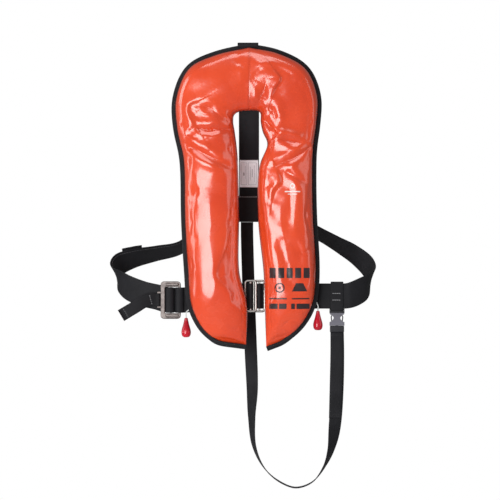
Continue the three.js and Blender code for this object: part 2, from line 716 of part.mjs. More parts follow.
// Waist belt, left: round the adjuster's bar, round the left side, up to the back.
const LEFT_ROUTE = [
  [SLIDE_BAR + 6, BELT_Y, FRAME_Z, 0, 0, 1],
  [SLIDE_BAR - 24, BELT_Y + 1, FRAME_Z + 5, 0, 0, 1],
  [SLIDE_BAR - 58, BELT_Y + 8, BELT_LINE + 5, -0.05, 0, 1],
  [SLIDE_BAR - 91, BELT_Y + 23, BELT_LINE + 20, -0.2, -0.05, 1],
  [SLIDE_BAR - 111, BELT_Y + 43, BELT_LINE + 42, -0.35, -0.15, 0.92],
  [SLIDE_BAR - 106, BELT_Y + 62, BELT_LINE + 61, -0.25, -0.45, 0.85],
  [SLIDE_BAR - 76, BELT_Y + 74, BELT_LINE + 74, -0.1, -0.65, 0.75],
  [SLIDE_BAR - 32, BELT_Y + 81, BELT_LINE + 84, 0, -0.78, 0.62],
  [-137, BACK_Y - 4, BELT_LINE + 96, 0, -0.85, 0.55],
  [-80, BACK_Y - 1, BACK_LOOP_Z - 33, 0, -0.6, 0.8],
  [-38, BACK_Y, BACK_LOOP_Z - 5, 0, 0, 1],
  [-21, BACK_Y, BACK_LOOP_Z - 0.5, 0, 0, 1],
  [-1.5, BACK_Y, BACK_LOOP_Z, 0, 0, 1],
];
const LEFT_STEPS = 48;
add('waist_belt_left', combine([
  ribbon(LEFT_ROUTE, BELT, LEFT_STEPS),
  bandZ(SLIDE_BAR, FRAME_Y, BAR_INSIDE, BELT, FRAME_Z),
]), 'webbing');

// Waist belt, right: round the right ring, behind the right lobe, round the right side.
const SNAP_X = HALVES.right.half + 40; // middle of the crotch strap's hanger
const RIGHT_ROUTE = [
  [RING_X.right + RING_RUN.to - WEBBING / 2, BELT_Y, BELT_LINE, 0, 0, 1],
  [90, BELT_Y, BELT_LINE, 0, 0, 1],
  [SNAP_X - 24, BELT_Y, BELT_LINE, 0, 0, 1],
  [SNAP_X + 15, BELT_Y, BELT_LINE, 0, 0, 1],
  [SNAP_X + 29, BELT_Y + 1, BELT_LINE + 2.5, 0.03, 0, 1],
  [SNAP_X + 55, BELT_Y + 14, BELT_LINE + 16, 0.15, -0.05, 1],
  [SNAP_X + 69, BELT_Y + 34, BELT_LINE + 33, 0.25, -0.15, 0.95],
  [SNAP_X + 65, BELT_Y + 54, BELT_LINE + 55, 0.2, -0.4, 0.88],
  [SNAP_X + 38, BELT_Y + 70, BELT_LINE + 81, 0.08, -0.6, 0.78],
  [SNAP_X + 4, BACK_Y - 10, BELT_LINE + 102, 0, -0.75, 0.65],
  [139, BACK_Y - 4, BELT_LINE + 124, 0, -0.83, 0.56],
  [84, BACK_Y - 1, BACK_LOOP_Z - 25, 0, -0.6, 0.8],
  [38, BACK_Y, BACK_LOOP_Z - 4, 0, 0, 1],
  [21, BACK_Y, BACK_LOOP_Z - 0.5, 0, 0, 1],
  [1.5, BACK_Y, BACK_LOOP_Z, 0, 0, 1],
];
add('waist_belt_right', combine([
  ribbon(RIGHT_ROUTE, BELT, 56),
  ...ringEnd('right', 1),
]), 'webbing');

// Elastic keeper on the inner side of the left belt's back part.
const KEEPER = { from: 23 / LEFT_STEPS, to: 26 / LEFT_STEPS, thick: 1.2, offset: 2.7 };
add('belt_keeper', ribbon(LEFT_ROUTE, BELT + 3, 3, KEEPER), 'webbing');

// Loops on the back panel that hold the front belts to the cover.
const LOOP_WALL = 1.4;
function beltLoop(x, z) {
  const width = 36;
  const bottom = BACK_FACE + GAP;
  const depth = BELT_Y + WEBBING / 2 + GAP + LOOP_WALL - bottom;
  return combine(
    [box(width, depth, BELT + 12, x, bottom + depth / 2, z)],
    [box(width + 2, depth - 2 * LOOP_WALL, BELT + 4, x, bottom + depth / 2, z)],
  );
}
add('belt_loop_left', beltLoop(-62, (BELT_LINE + FRAME_Z) / 2 + 0.5), 'webbing');
add('belt_loop_right', beltLoop(72, BELT_LINE), 'webbing');

// ---------------------------------------------------------------- back strap

const STRAP_TOP_Y = BACK_FACE + WEBBING / 2 + 3 * GAP;
const LOOP_FRONT_Y = BACK_Y - WEBBING - 3 * GAP;
const STRAP_ROUTE = [
  [0, STRAP_TOP_Y, TOP - 4, 1, 0, 0],
  [0, STRAP_TOP_Y, 60, 1, 0, 0],
  [0, STRAP_TOP_Y + 2, 0, 1, 0, 0],
  [0, STRAP_TOP_Y + 24, -60, 1, 0, 0],
  [0, STRAP_TOP_Y + 54, -105, 1, 0, 0],
  [0, STRAP_TOP_Y + 86, -145, 1, 0, 0],
  [0, LOOP_FRONT_Y, BACK_LOOP_Z + BELT / 2 + 2, 1, 0, 0],
];
const loopDepth = 2 * (BACK_Y - LOOP_FRONT_Y) + WEBBING;
const beltPassage = box(BACK_STRAP + 2, loopDepth - 2 * WEBBING, BELT + 2, 0, BACK_Y, BACK_LOOP_Z);
add('back_strap', combine(
  [ribbon(STRAP_ROUTE, BACK_STRAP, 20),
    box(BACK_STRAP, loopDepth, BELT + 2 + 2 * WEBBING, 0, BACK_Y, BACK_LOOP_Z)],
  [beltPassage],
), 'webbing');
const LABEL = { from: 0.63, to: 0.86, thick: 0.8, offset: 1.7 };
add('id_label', ribbon(STRAP_ROUTE, BACK_STRAP - 3, 8, LABEL), 'label');

// ---------------------------------------------------------------- crotch strap and its buckle

const SNAP_TOP = BELT_LINE - BELT / 2 + 1.2 - 1.6;
const BUCKLE_BAR = 3;
const HANGER_BOTTOM = SNAP_TOP - BUCKLE_BAR - GAP - 1.5;
const HANGER_TOP = BELT_LINE + BELT / 2 + 3.5;

// Webbing hanger: round the belt and round the socket's bar.
add('crotch_hanger', combine(
  [box(CROTCH_STRAP, WEBBING + 2 * GAP + 3, HANGER_TOP - HANGER_BOTTOM,
    SNAP_X, BELT_Y, (HANGER_TOP + HANGER_BOTTOM) / 2)],
  [box(CROTCH_STRAP + 2, WEBBING + 2 * GAP, HANGER_TOP - HANGER_BOTTOM - 3,
    SNAP_X, BELT_Y, (HANGER_TOP + HANGER_BOTTOM) / 2)],
), 'webbing');

// Socket: bar and ears on top, an hourglass body, hollow for the prongs.
const SOCKET_TOP = HANGER_BOTTOM - GAP;
const SOCKET_BOTTOM = SNAP_TOP - SNAP_HEIGHT + 12;
const WAIST_Z = (SOCKET_TOP + SOCKET_BOTTOM) / 2 + 1;
const WAIST_HALF = 6.5;
function mirrored(points) {
  return [...points, ...points.toReversed().map(([x, z]) => [-x, z])];
}
function plateXZ(points, thick, x, y) {
  const shape = new THREE.Shape(points.map(([px, pz]) => new THREE.Vector2(px, pz)));
  return new THREE.ExtrudeGeometry(shape, { depth: thick, bevelEnabled: false })
    .rotateX(Math.PI / 2).translate(x, y + thick / 2, 0);
}
const socketHalf = SNAP_WIDTH / 2;
const socketBody = plateXZ(mirrored([
  [socketHalf, SOCKET_TOP], [socketHalf, SOCKET_TOP - 5], [WAIST_HALF + 1.5, WAIST_Z + 3.5],
  [WAIST_HALF, WAIST_Z], [WAIST_HALF + 1.5, WAIST_Z - 3.5],
  [socketHalf - 1, SOCKET_BOTTOM + 8], [socketHalf, SOCKET_BOTTOM],
]), SNAP_THICK, SNAP_X, BELT_Y);
const earHeight = SNAP_TOP - SOCKET_TOP + 1;
const ears = [1, -1].map((end) => box(1.8, 6, earHeight,
  SNAP_X + end * (socketHalf - 0.9), BELT_Y, SNAP_TOP - earHeight / 2));
const socketBar = box(SNAP_WIDTH - 2, 2, BUCKLE_BAR, SNAP_X, BELT_Y, SNAP_TOP - BUCKLE_BAR / 2);
const HOLLOW_HALF = socketHalf - 1.8;
const HOLLOW_TOP = SOCKET_TOP - 6.5;
const hollow = box(2 * HOLLOW_HALF, 4.4, HOLLOW_TOP - SOCKET_BOTTOM + 2,
  SNAP_X, BELT_Y, (HOLLOW_TOP + SOCKET_BOTTOM - 2) / 2);
add('buckle_socket', combine([socketBody, ...ears, socketBar], [hollow]), 'plastic');

// Plug: a base with two webbing bars and a guide tongue.
const PLUG_TOP = SOCKET_BOTTOM - GAP;
const PLUG_BOTTOM = SNAP_TOP - SNAP_HEIGHT;
const plugHeight = PLUG_TOP - PLUG_BOTTOM;
add('buckle_plug', combine(
  [box(SNAP_WIDTH - 1.4, SNAP_THICK - 1, plugHeight, SNAP_X, BELT_Y, PLUG_TOP - plugHeight / 2),
    box(5, 3.6, 16, SNAP_X, BELT_Y, PLUG_TOP + 6)],
  [box(CROTCH_STRAP + 0.8, SNAP_THICK + 2, 2.6, SNAP_X, BELT_Y, PLUG_BOTTOM + 4.4)],
), 'plastic');

// Spring prongs: each bows out through the socket's waist and latches under its shoulder.
const PRONG_ROOT = PLUG_TOP + GAP;
for (const [name, end] of [['left', -1], ['right', 1]]) {
  const bow = (d) => [
    [8.5 + d, PRONG_ROOT], [10 + d, PRONG_ROOT + 6], [11 + d, WAIST_Z - 2],
    [11.2 + d, WAIST_Z + 3], [9.5 + d, HOLLOW_TOP - 1],
  ];
  const outline = [...bow(1.1), ...bow(-1.1).toReversed()].map(([px, pz]) => [end * px, pz]);
  add(`buckle_prong_${name}`, plateXZ(outline, 3.6, SNAP_X, BELT_Y), 'plastic');
}

// Crotch strap: down from the plug, round the low bend, up to the loop of the back strap.
const CROTCH_ROUTE = [
  [SNAP_X + 1, BELT_Y, PLUG_BOTTOM - 0.6, 1, 0, 0],
  [SNAP_X + 1, BELT_Y + 1, -480, 1, 0, 0],
  [SNAP_X, BELT_Y + 2, -545, 1, 0, 0],
  [SNAP_X - 3, BELT_Y + 4, -610, 1, 0.1, 0],
  [SNAP_X - 11, BELT_Y + 8, -668, 0.6, 0.8, 0],
  [150, BELT_Y + 14, -703, 0.25, 1, 0],
  [126, BELT_Y + 22, -735, 0.05, 1, 0],
  [92, BELT_Y + 32, -747, 0, 1, 0],
  [56, BELT_Y + 42, -733, 0, 1, 0],
  [28, BELT_Y + 52, -706, -0.1, 1, 0],
  [10, BELT_Y + 60, -665, -0.3, 0.95, 0],
  [5.5, BELT_Y + 66, -610, -0.55, 0.83, 0],
  [6.5, BELT_Y + 72, -552, -0.85, 0.4, 0],
  [3.5, BELT_Y + 78, -472, -1, 0.05, 0],
  [-1, BELT_Y + 84, -350, -1, 0, 0],
  [-4, BACK_Y, -240, -1, 0, 0],
  [-4, BACK_Y, BACK_LOOP_Z - BELT / 2 - 1 - WEBBING - GAP, -1, 0, 0],
];
add('crotch_strap', ribbon(CROTCH_ROUTE, CROTCH_STRAP, 72), 'webbing');
const TAIL_ROUTE = [
  [SNAP_X - 0.6, BELT_Y - 2.3, PLUG_BOTTOM - 0.6, 1, 0, 0],
  [SNAP_X - 0.6, BELT_Y - 1.4, -480, 1, 0, 0],
  [SNAP_X - 2, BELT_Y - 0.4, -545, 1, 0, 0],
  [SNAP_X - 3.5, BELT_Y + 1.2, -608, 1, 0.08, 0],
];
add('crotch_tail', ribbon(TAIL_ROUTE, CROTCH_STRAP, 12), 'webbing');

export default group;
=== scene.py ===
"""Inflatable life jacket, harness type: the looks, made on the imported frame.

Metres, +Z up, the front faces -Y. Soft pieces and straps are built here and ride on the frame.
"""
import math

import bpy
import numpy as np
from mathutils import Matrix, Vector, noise
from mathutils.bvhtree import BVHTree


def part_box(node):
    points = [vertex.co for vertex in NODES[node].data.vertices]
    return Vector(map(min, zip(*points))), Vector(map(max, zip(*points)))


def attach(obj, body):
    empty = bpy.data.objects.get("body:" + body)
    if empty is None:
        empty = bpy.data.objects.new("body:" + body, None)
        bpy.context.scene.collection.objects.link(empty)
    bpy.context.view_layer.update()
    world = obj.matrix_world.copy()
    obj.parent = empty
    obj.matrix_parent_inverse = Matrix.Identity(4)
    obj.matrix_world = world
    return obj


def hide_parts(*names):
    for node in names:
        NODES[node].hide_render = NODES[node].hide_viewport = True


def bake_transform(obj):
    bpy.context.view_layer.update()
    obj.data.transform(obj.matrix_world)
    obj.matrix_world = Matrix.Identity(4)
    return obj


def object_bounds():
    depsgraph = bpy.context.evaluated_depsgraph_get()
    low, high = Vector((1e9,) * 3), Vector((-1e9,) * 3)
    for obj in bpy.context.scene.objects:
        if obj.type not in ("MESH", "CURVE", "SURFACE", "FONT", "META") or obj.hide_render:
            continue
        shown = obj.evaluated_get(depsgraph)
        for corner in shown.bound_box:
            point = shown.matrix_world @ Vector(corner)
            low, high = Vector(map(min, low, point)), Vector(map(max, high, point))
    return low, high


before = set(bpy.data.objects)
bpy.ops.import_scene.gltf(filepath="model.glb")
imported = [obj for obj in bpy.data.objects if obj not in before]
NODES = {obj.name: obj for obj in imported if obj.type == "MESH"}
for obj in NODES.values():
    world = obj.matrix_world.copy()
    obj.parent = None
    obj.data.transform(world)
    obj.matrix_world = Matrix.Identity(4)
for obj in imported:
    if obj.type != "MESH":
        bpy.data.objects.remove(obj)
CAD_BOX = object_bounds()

# ---------------------------------------------------------------- sizes, as in the model

COLLAR_TOP = 0.131
COLLAR_HALF = 0.146
LOBE_END = -0.47
SKEW = 0.0045  # the left half of the collar is wider by this, the right half narrower
CROWN = 0.046  # height of a packed lobe
DOME = 0.52  # the lower, the flatter the crown and the steeper the walls
BINDING = 0.0075
SEAM_Y = 0.003
BACK_FACE = 0.0053

BELT = 0.05
BACK_STRAP = 0.04
CROTCH_STRAP = 0.025
WEBBING = 0.0018
BELT_LINE = LOBE_END + 0.104
BELT_Y = 0.022
BACK_Y = 0.11
BACK_LOOP_Z = -0.191

WIRE = 0.0045
FRAME_X, FRAME_Y, FRAME_Z = -0.1546, 0.0182, -0.374  # middle of the adjuster
FRAME_WIDTH, FRAME_HEIGHT, FRAME_THICK = 0.04, 0.0743, 0.004
BAR_RADIUS = 0.0026
FIXED_BAR, SLIDE_BAR = -0.1372, -0.1542
PIN_X, TAB_Z = -0.1786, -0.3735
TAB_PIN_RADIUS = 0.0016
SNAP_X = 0.174  # middle of the side-release buckle
SLIP = 0.0003  # play between webbing and the bar it wraps

# ---------------------------------------------------------------- camera

VIEW_CENTRE = Vector((0.002, 0.0, -0.275))
VIEW_DISTANCE = 6.0
VIEW_WIDTH = 0.985  # seen across the jacket's plane
SENSOR = 36


def make_camera():
    data = bpy.data.cameras.new("camera")
    data.sensor_width = SENSOR
    data.lens = SENSOR * VIEW_DISTANCE / VIEW_WIDTH
    camera = bpy.data.objects.new("camera", data)
    camera.location = VIEW_CENTRE + Vector((0, -VIEW_DISTANCE, 0))
    camera.rotation_euler = (math.pi / 2, 0, 0)
    bpy.context.collection.objects.link(camera)
    bpy.context.scene.camera = camera


make_camera()

# ---------------------------------------------------------------- curves


def catmull(points, shares):
    """Points of the centripetal Catmull-Rom curve through points, at shares of its stops."""
    p = np.array(points, float)
    n = len(p) - 1
    at = np.clip(np.asarray(shares, float), 0, 1) * n
    i = np.minimum(at.astype(int), n - 1)
    w = (at - i)[:, None]
    p = np.vstack([2 * p[0] - p[1], p, 2 * p[-1] - p[-2]])
    p0, p1, p2, p3 = p[i], p[i + 1], p[i + 2], p[i + 3]
    d0, d1, d2 = (np.linalg.norm(b - a, axis=1, keepdims=True) ** 0.5
                  for a, b in ((p0, p1), (p1, p2), (p2, p3)))
    d1 = np.where(d1 < 1e-4, 1, d1)
    d0 = np.where(d0 < 1e-4, d1, d0)
    d2 = np.where(d2 < 1e-4, d1, d2)
    m1 = ((p1 - p0) / d0 - (p2 - p0) / (d0 + d1) + (p2 - p1) / d1) * d1
    m2 = ((p2 - p1) / d1 - (p3 - p1) / (d1 + d2) + (p3 - p2) / d2) * d1
    return (p1 + m1 * w + (3 * (p2 - p1) - 2 * m1 - m2) * w**2
            + (2 * (p1 - p2) + m1 + m2) * w**3)


def unit(v):
    return v / np.maximum(np.linalg.norm(v, axis=-1, keepdims=True), 1e-12)


def frames(stops, shares):
    """Centre, direction, width direction and face direction along stops (x, y, z, wx, wy, wz)."""
    stops = np.array(stops, float)
    shares = np.asarray(shares, float)
    centre = catmull(stops[:, :3], shares)
    along = unit(catmull(stops[:, :3], shares + 1e-4) - catmull(stops[:, :3], shares - 1e-4))
    wide = catmull(stops[:, 3:], shares)
    wide = unit(wide - along * np.sum(wide * along, axis=1, keepdims=True))
    return centre, along, wide, np.cross(along, wide)


def lengths(points):
    """Distance along a run of points, from its start."""
    steps = np.linalg.norm(np.diff(points, axis=0), axis=1)
    return np.concatenate([[0], np.cumsum(steps)])


# ---------------------------------------------------------------- mesh helpers


def grid_faces(rows, columns, close_rows=False, close_columns=False):
    i, j = np.meshgrid(np.arange(rows - (not close_rows)),
                       np.arange(columns - (not close_columns)), indexing="ij")
    i, j = i.ravel(), j.ravel()
    down, right = (i + 1) % rows, (j + 1) % columns
    return np.stack([i * columns + j, down * columns + j,
                     down * columns + right, i * columns + right], axis=1).tolist()


def end_faces(rows, columns):
    """The two flat ends of a skin made of closed rows."""
    return [list(range(columns))[::-1], [(rows - 1) * columns + k for k in range(columns)]]


def flipped(faces):
    return [face[::-1] for face in faces]


def mesh_object(name, points, faces, material, uv=None):
    """A smooth mesh object in the shared frame. uv holds one (along, across) a point."""
    mesh = bpy.data.meshes.new(name)
    mesh.from_pydata(np.asarray(points, float).tolist(), [], faces)
    mesh.validate()
    if uv is not None:
        uv = np.asarray(uv, np.float32)
        corner = np.zeros(len(mesh.loops), np.int32)
        mesh.loops.foreach_get("vertex_index", corner)
        mesh.uv_layers.new(name="lay").data.foreach_set("uv", uv[corner].ravel())
    mesh.polygons.foreach_set("use_smooth", [True] * len(mesh.polygons))
    mesh.materials.append(material)
    piece = bpy.data.objects.new(name, mesh)
    bpy.context.collection.objects.link(piece)
    return piece


def make_piece(name, points, faces, material, slot, body="jacket", replaced=(), uv=None):
    """A piece that rides on a body and stands for its CAD nodes."""
    piece = mesh_object(name, points, faces, material, uv)
    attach(piece, body)
    if replaced:
        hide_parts(*replaced)
    return piece


def join_parts(parts):
    """Points, faces and uv of several (points, faces, uv) parts in one."""
    points, faces, uv = [], [], []
    for p, f, t in parts:
        start = sum(len(x) for x in points)
        points.append(np.asarray(p, float))
        faces += [[v + start for v in face] for face in f]
        uv.append(np.zeros((len(p), 2)) if t is None else np.asarray(t, float))
    return np.vstack(points), faces, np.vstack(uv)


# Cross-section of webbing: share of the half width, share of the half thickness.
SELVEDGE = np.array([
    (-1, 0), (-0.975, 0.75), (-0.9, 1), (-0.45, 1), (0, 1), (0.45, 1), (0.9, 1), (0.975, 0.75),
    (1, 0), (0.975, -0.75), (0.9, -1), (0.45, -1), (0, -1), (-0.45, -1), (-0.9, -1), (-0.975, -0.75)])


def strap(stops, width, thick=WEBBING, step=0.004, start=0.0, end=1.0, offset=0.0):
    """Flat webbing along stops, as (points, faces, uv)."""
    rough = catmull(np.array(stops, float)[:, :3], np.linspace(start, end, 200))
    count = max(int(lengths(rough)[-1] / step), 3) + 1
    centre, _, wide, face = frames(stops, np.linspace(start, end, count))
    centre = centre + face * offset
    across = SELVEDGE[:, 0] * width / 2
    depth = SELVEDGE[:, 1] * thick / 2
    points = (centre[:, None] + wide[:, None] * across[None, :, None]
              + face[:, None] * depth[None, :, None])
    n = len(SELVEDGE)
    faces = grid_faces(count, n, close_columns=True) + end_faces(count, n)
    u = np.repeat(lengths(centre), n)
    return points.reshape(-1, 3), faces, np.stack([u, np.tile(across, count)], axis=1)


def tube(path, radius, sides=16, closed=False):
    """A round bar or cord along a dense path."""
    path = np.asarray(path, float)
    if closed:
        along = unit(np.roll(path, -1, 0) - np.roll(path, 1, 0))
    else:
        along = unit(np.gradient(path, axis=0))
    side = np.zeros_like(path)
    guess = Vector((0, 1, 0)) if abs(along[0][1]) < 0.9 else Vector((1, 0, 0))
    for k, t in enumerate(along):
        t = Vector(t)
        guess = (guess - t * guess.dot(t)).normalized()
        side[k] = guess
    other = np.cross(along, side)
    angle = np.linspace(0, 2 * math.pi, sides, endpoint=False)
    points = (path[:, None] + side[:, None] * (radius * np.cos(angle))[None, :, None]
              + other[:, None] * (radius * np.sin(angle))[None, :, None])
    faces = grid_faces(len(path), sides, close_rows=closed, close_columns=True)
    if not closed:
        faces += end_faces(len(path), sides)
    u = np.repeat(lengths(path), sides)
    v = np.tile(angle * radius, len(path))
    return points.reshape(-1, 3), faces, np.stack([u, v], axis=1)


def lathe(profile, centre, sides=32):
    """A turned body about a vertical axis; profile is (radius, height) from its lower end."""
    profile = np.array(profile, float)
    angle = np.linspace(0, 2 * math.pi, sides, endpoint=False)
    ring = np.stack([np.cos(angle), np.sin(angle)], axis=1)
    points = [(centre[0] + r * c, centre[1] + r * s, centre[2] + h)
              for r, h in profile for c, s in ring]
    faces = flipped(grid_faces(len(profile), sides, close_columns=True))
    faces += end_faces(len(profile), sides)
    return np.array(points), faces, None


def arc(cx, cz, radius, start, stop, count=6):
    """Points of an arc in degrees, in the X-Z plane."""
    angles = np.radians(np.linspace(start, stop, count))
    return [(cx + radius * math.cos(a), cz + radius * math.sin(a)) for a in angles]


def rounded(cx, cz, width, height, corner, count=6):
    w, h = width / 2 - corner, height / 2 - corner
    return (arc(cx + w, cz + h, corner, 0, 90, count) + arc(cx - w, cz + h, corner, 90, 180, count)
            + arc(cx - w, cz - h, corner, 180, 270, count)
            + arc(cx + w, cz - h, corner, 270, 360, count))


def slab(cx, cz, width, height, corner, count, thick, y, bevel):
    """A rounded rectangle with soft edges."""
    return plate([rounded(cx, cz, width, height, corner, count)], thick, y, bevel)


def plate(outlines, thick, y, bevel):
    """A flat mesh with soft edges from outlines in the X-Z plane; the second and later are holes."""
    curve = bpy.data.curves.new("outline", "CURVE")
    curve.dimensions = "2D"
    curve.fill_mode = "BOTH"
    curve.extrude = thick / 2 - bevel
    curve.bevel_depth = bevel
    curve.bevel_resolution = 2
    curve.offset = -bevel
    for outline in outlines:
        spline = curve.splines.new("POLY")
        spline.points.add(len(outline) - 1)
        spline.points.foreach_set("co", [c for x, z in outline for c in (x, z, 0, 1)])
        spline.use_cyclic_u = True
    holder = bpy.data.objects.new("outline", curve)
    bpy.context.collection.objects.link(holder)
    bpy.context.view_layer.update()
    mesh = bpy.data.meshes.new_from_object(holder)
    bpy.data.objects.remove(holder)
    mesh.transform(Matrix.Translation((0, y, 0)) @ Matrix.Rotation(math.pi / 2, 4, "X"))
    points = [tuple(v.co) for v in mesh.vertices]
    faces = [list(p.vertices) for p in mesh.polygons]
    bpy.data.meshes.remove(mesh)
    return points, faces, None


def hard_piece(name, parts, material, slot, **where):
    """Several plates and bars in one piece, smooth only where faces meet at less than 40 degrees."""
    points, faces, _ = join_parts(parts)
    piece = make_piece(name, points, faces, material, slot, **where)
    bpy.context.view_layer.objects.active = piece
    piece.select_set(True)
    bpy.ops.object.shade_smooth_by_angle(angle=math.radians(40))
    piece.select_set(False)


def webbing(name, parts, material, replaced, body="jacket", slot="webbing"):
    """Runs of webbing, or rows of thread, in one piece."""
    points, faces, uv = join_parts(parts)
    return make_piece(name, points, faces, material, slot, body=body, replaced=replaced, uv=uv)


# ---------------------------------------------------------------- material helpers


class Shader:
    """A principled material whose varying inputs come from nodes.

    Noise scales are per metre; pitches and lengths are in metres.
    """

    def __init__(self, name, color, roughness, metallic=0.0, **constants):
        self.material = bpy.data.materials.new(name)
        self.material.use_nodes = True
        self.tree = self.material.node_tree
        self.surface = self.tree.nodes["Principled BSDF"]
        constants.update(Base_Color=(*color, 1), Roughness=roughness, Metallic=metallic)
        for key, value in constants.items():
            self.surface.inputs[key.replace("_", " ")].default_value = value
        self.place = self.node("ShaderNodeTexCoord").outputs["Object"]

    def node(self, kind, settings=(), **inputs):
        """A node with its inputs set or linked, by name or by number as i0, i1 and so on."""
        made = self.tree.nodes.new(kind)
        for key, value in dict(settings).items():
            setattr(made, key, value)
        for key, value in inputs.items():
            numbered = key[0] == "i" and key[1:].isdigit()
            socket = made.inputs[int(key[1:]) if numbered else key.replace("_", " ")]
            if isinstance(value, bpy.types.NodeSocket):
                self.tree.links.new(value, socket)
            else:
                socket.default_value = value
        return made

    def math(self, operation, a, b=0.0, c=0.0):
        return self.node("ShaderNodeMath", {"operation": operation}, i0=a, i1=b, i2=c).outputs[0]

    def noise(self, scale, detail=3.0, stretch=None, roughness=0.5):
        place = self.place
        if stretch:
            place = self.node("ShaderNodeMapping", Vector=place, Scale=stretch).outputs[0]
        return self.node("ShaderNodeTexNoise", Vector=place, Scale=scale, Detail=detail,
                         Roughness=roughness).outputs["Fac"]

    def span(self, value, low, high, out_low, out_high):
        return self.node("ShaderNodeMapRange", Value=value, From_Min=low, From_Max=high,
                         To_Min=out_low, To_Max=out_high).outputs[0]

    def cloudy(self, scale, detail, low, high, out_low=0.0, out_high=1.0):
        """Noise from low to high, spread from out_low to out_high."""
        return self.span(self.noise(scale, detail), low, high, out_low, out_high)

    def ripple(self, value, pitch):
        """A sine of the value, from 0 to 1."""
        turn = self.math("MULTIPLY", value, 2 * math.pi / pitch)
        return self.math("MULTIPLY_ADD", self.math("SINE", turn), 0.5, 0.5)

    def weave(self, pitch):
        """Crossed threads, over the object's own X and Z."""
        split = self.node("ShaderNodeSeparateXYZ", Vector=self.place)
        return self.math("ADD", self.ripple(split.outputs[0], pitch),
                         self.ripple(split.outputs[2], pitch))

    def tint(self, share, a, b):
        """A base colour between a and b."""
        mixed = self.node("ShaderNodeMix", {"data_type": "RGBA"}, i0=share, i6=(*a, 1), i7=(*b, 1))
        self.tree.links.new(mixed.outputs[2], self.surface.inputs["Base Color"])

    def rough(self, value):
        self.tree.links.new(value, self.surface.inputs["Roughness"])

    def bump(self, *layers):
        """Bumps on top of each other, each (height, distance in metres, strength)."""
        normal = None
        for height, distance, strength in layers:
            made = self.node("ShaderNodeBump", Height=height, Distance=distance, Strength=strength)
            if normal is not None:
                self.tree.links.new(normal, made.inputs["Normal"])
            normal = made.outputs[0]
        self.tree.links.new(normal, self.surface.inputs["Normal"])

    def lay(self):
        """Along and across a strap, in metres."""
        place = self.node("ShaderNodeUVMap", {"uv_map": "lay"}).outputs[0]
        split = self.node("ShaderNodeSeparateXYZ", Vector=place)
        return split.outputs[0], split.outputs[1]


def coated_fabric():
    """Glossy coated fabric of the cover."""
    s = Shader("coated_fabric", (0.8, 0.075, 0.022), 0.2, Coat_Weight=0.8, Coat_Roughness=0.16,
               Coat_IOR=1.6, IOR=1.5)
    s.tint(s.cloudy(9, 3, 0.35, 0.65), (0.76, 0.07, 0.017), (0.66, 0.05, 0.012))
    s.rough(s.cloudy(40, 4, 0.3, 0.7, 0.18, 0.32))
    s.bump((s.noise(34, 2), 0.0012, 0.3), (s.noise(160, 3), 0.0002, 0.2),
           (s.weave(0.0011), 0.00004, 0.12))
    return s.material


def lining_fabric():
    s = Shader("lining_fabric", (0.62, 0.06, 0.02), 0.5, Sheen_Weight=0.15)
    s.tint(s.cloudy(14, 3, 0.3, 0.7), (0.66, 0.068, 0.024), (0.52, 0.048, 0.016))
    s.bump((s.noise(26, 3), 0.002, 0.5), (s.weave(0.0009), 0.00012, 0.5))
    s.rough(s.cloudy(60, 2, 0.3, 0.7, 0.42, 0.58))
    return s.material


def woven(name, dark, light, pitch, chevron, roughness=0.62, sheen=0.04):
    """Webbing: a herringbone of slanted ribs that turn back across the width."""
    s = Shader(name, dark, roughness, Sheen_Weight=sheen, Sheen_Roughness=0.4,
               Specular_IOR_Level=0.22)
    along, across = s.lay()
    turned = s.math("PINGPONG", across, chevron)
    ribs = s.ripple(s.math("ADD", along, turned), pitch)
    threads = s.ripple(across, pitch * 0.6)
    height = s.math("ADD", s.math("MULTIPLY", ribs, 0.7), s.math("MULTIPLY", threads, 0.3))
    dust = s.cloudy(30, 4, 0.35, 0.75, 0, 0.5)
    s.tint(s.math("MULTIPLY_ADD", height, 0.5, dust), dark, light)
    s.rough(s.span(height, 0, 1, roughness + 0.1, roughness - 0.08))
    s.bump((s.noise(45, 2), 0.0006, 0.3), (height, 0.00025, 0.5))
    return s.material


# Two boxes, drawn as four rules each, and loose rules: from and to along the strap, then across.
LABEL_RULES = [
    (0.006, 0.061, -0.016, -0.0155), (0.006, 0.061, -0.0045, -0.004),
    (0.006, 0.061, -0.0015, -0.001), (0.006, 0.061, 0.0145, 0.015),
    (0.006, 0.0066, -0.016, -0.004), (0.0604, 0.061, -0.016, -0.004),
    (0.006, 0.0066, -0.0015, 0.015), (0.0604, 0.061, -0.0015, 0.015),
    (0.016, 0.05, 0.003, 0.0036), (0.022, 0.042, 0.006, 0.007),
    (0.012, 0.054, 0.0105, 0.011), (0.03, 0.038, -0.011, -0.0092),
    (0.014, 0.046, -0.0075, -0.007),
]


def label_fabric():
    """Off-white satin label with plain printed boxes and rules."""
    s = Shader("label_fabric", (0.8, 0.78, 0.76), 0.5, Sheen_Weight=0.2)
    along, across = s.lay()
    ink = None
    for rule in LABEL_RULES:
        inside = rectangle(s, along, across, *rule)
        ink = inside if ink is None else s.math("MAXIMUM", ink, inside)
    weave = s.math("SINE", s.math("MULTIPLY", along, 2 * math.pi / 0.0007))
    s.tint(s.math("MULTIPLY", ink, 0.85), (0.95, 0.95, 0.99), (0.08, 0.08, 0.11))
    s.rough(s.cloudy(50, 3, 0.3, 0.7, 0.45, 0.6))
    s.bump((s.noise(40, 2), 0.0008, 0.4), (weave, 0.00008, 0.5))
    return s.material


def rectangle(s, along, across, low, high, edge_low, edge_high):
    """1 inside a box of the strap's own plane, 0 outside."""
    a = s.math("COMPARE", along, (low + high) / 2, (high - low) / 2)
    b = s.math("COMPARE", across, (edge_low + edge_high) / 2, (edge_high - edge_low) / 2)
    return s.math("MULTIPLY", a, b)


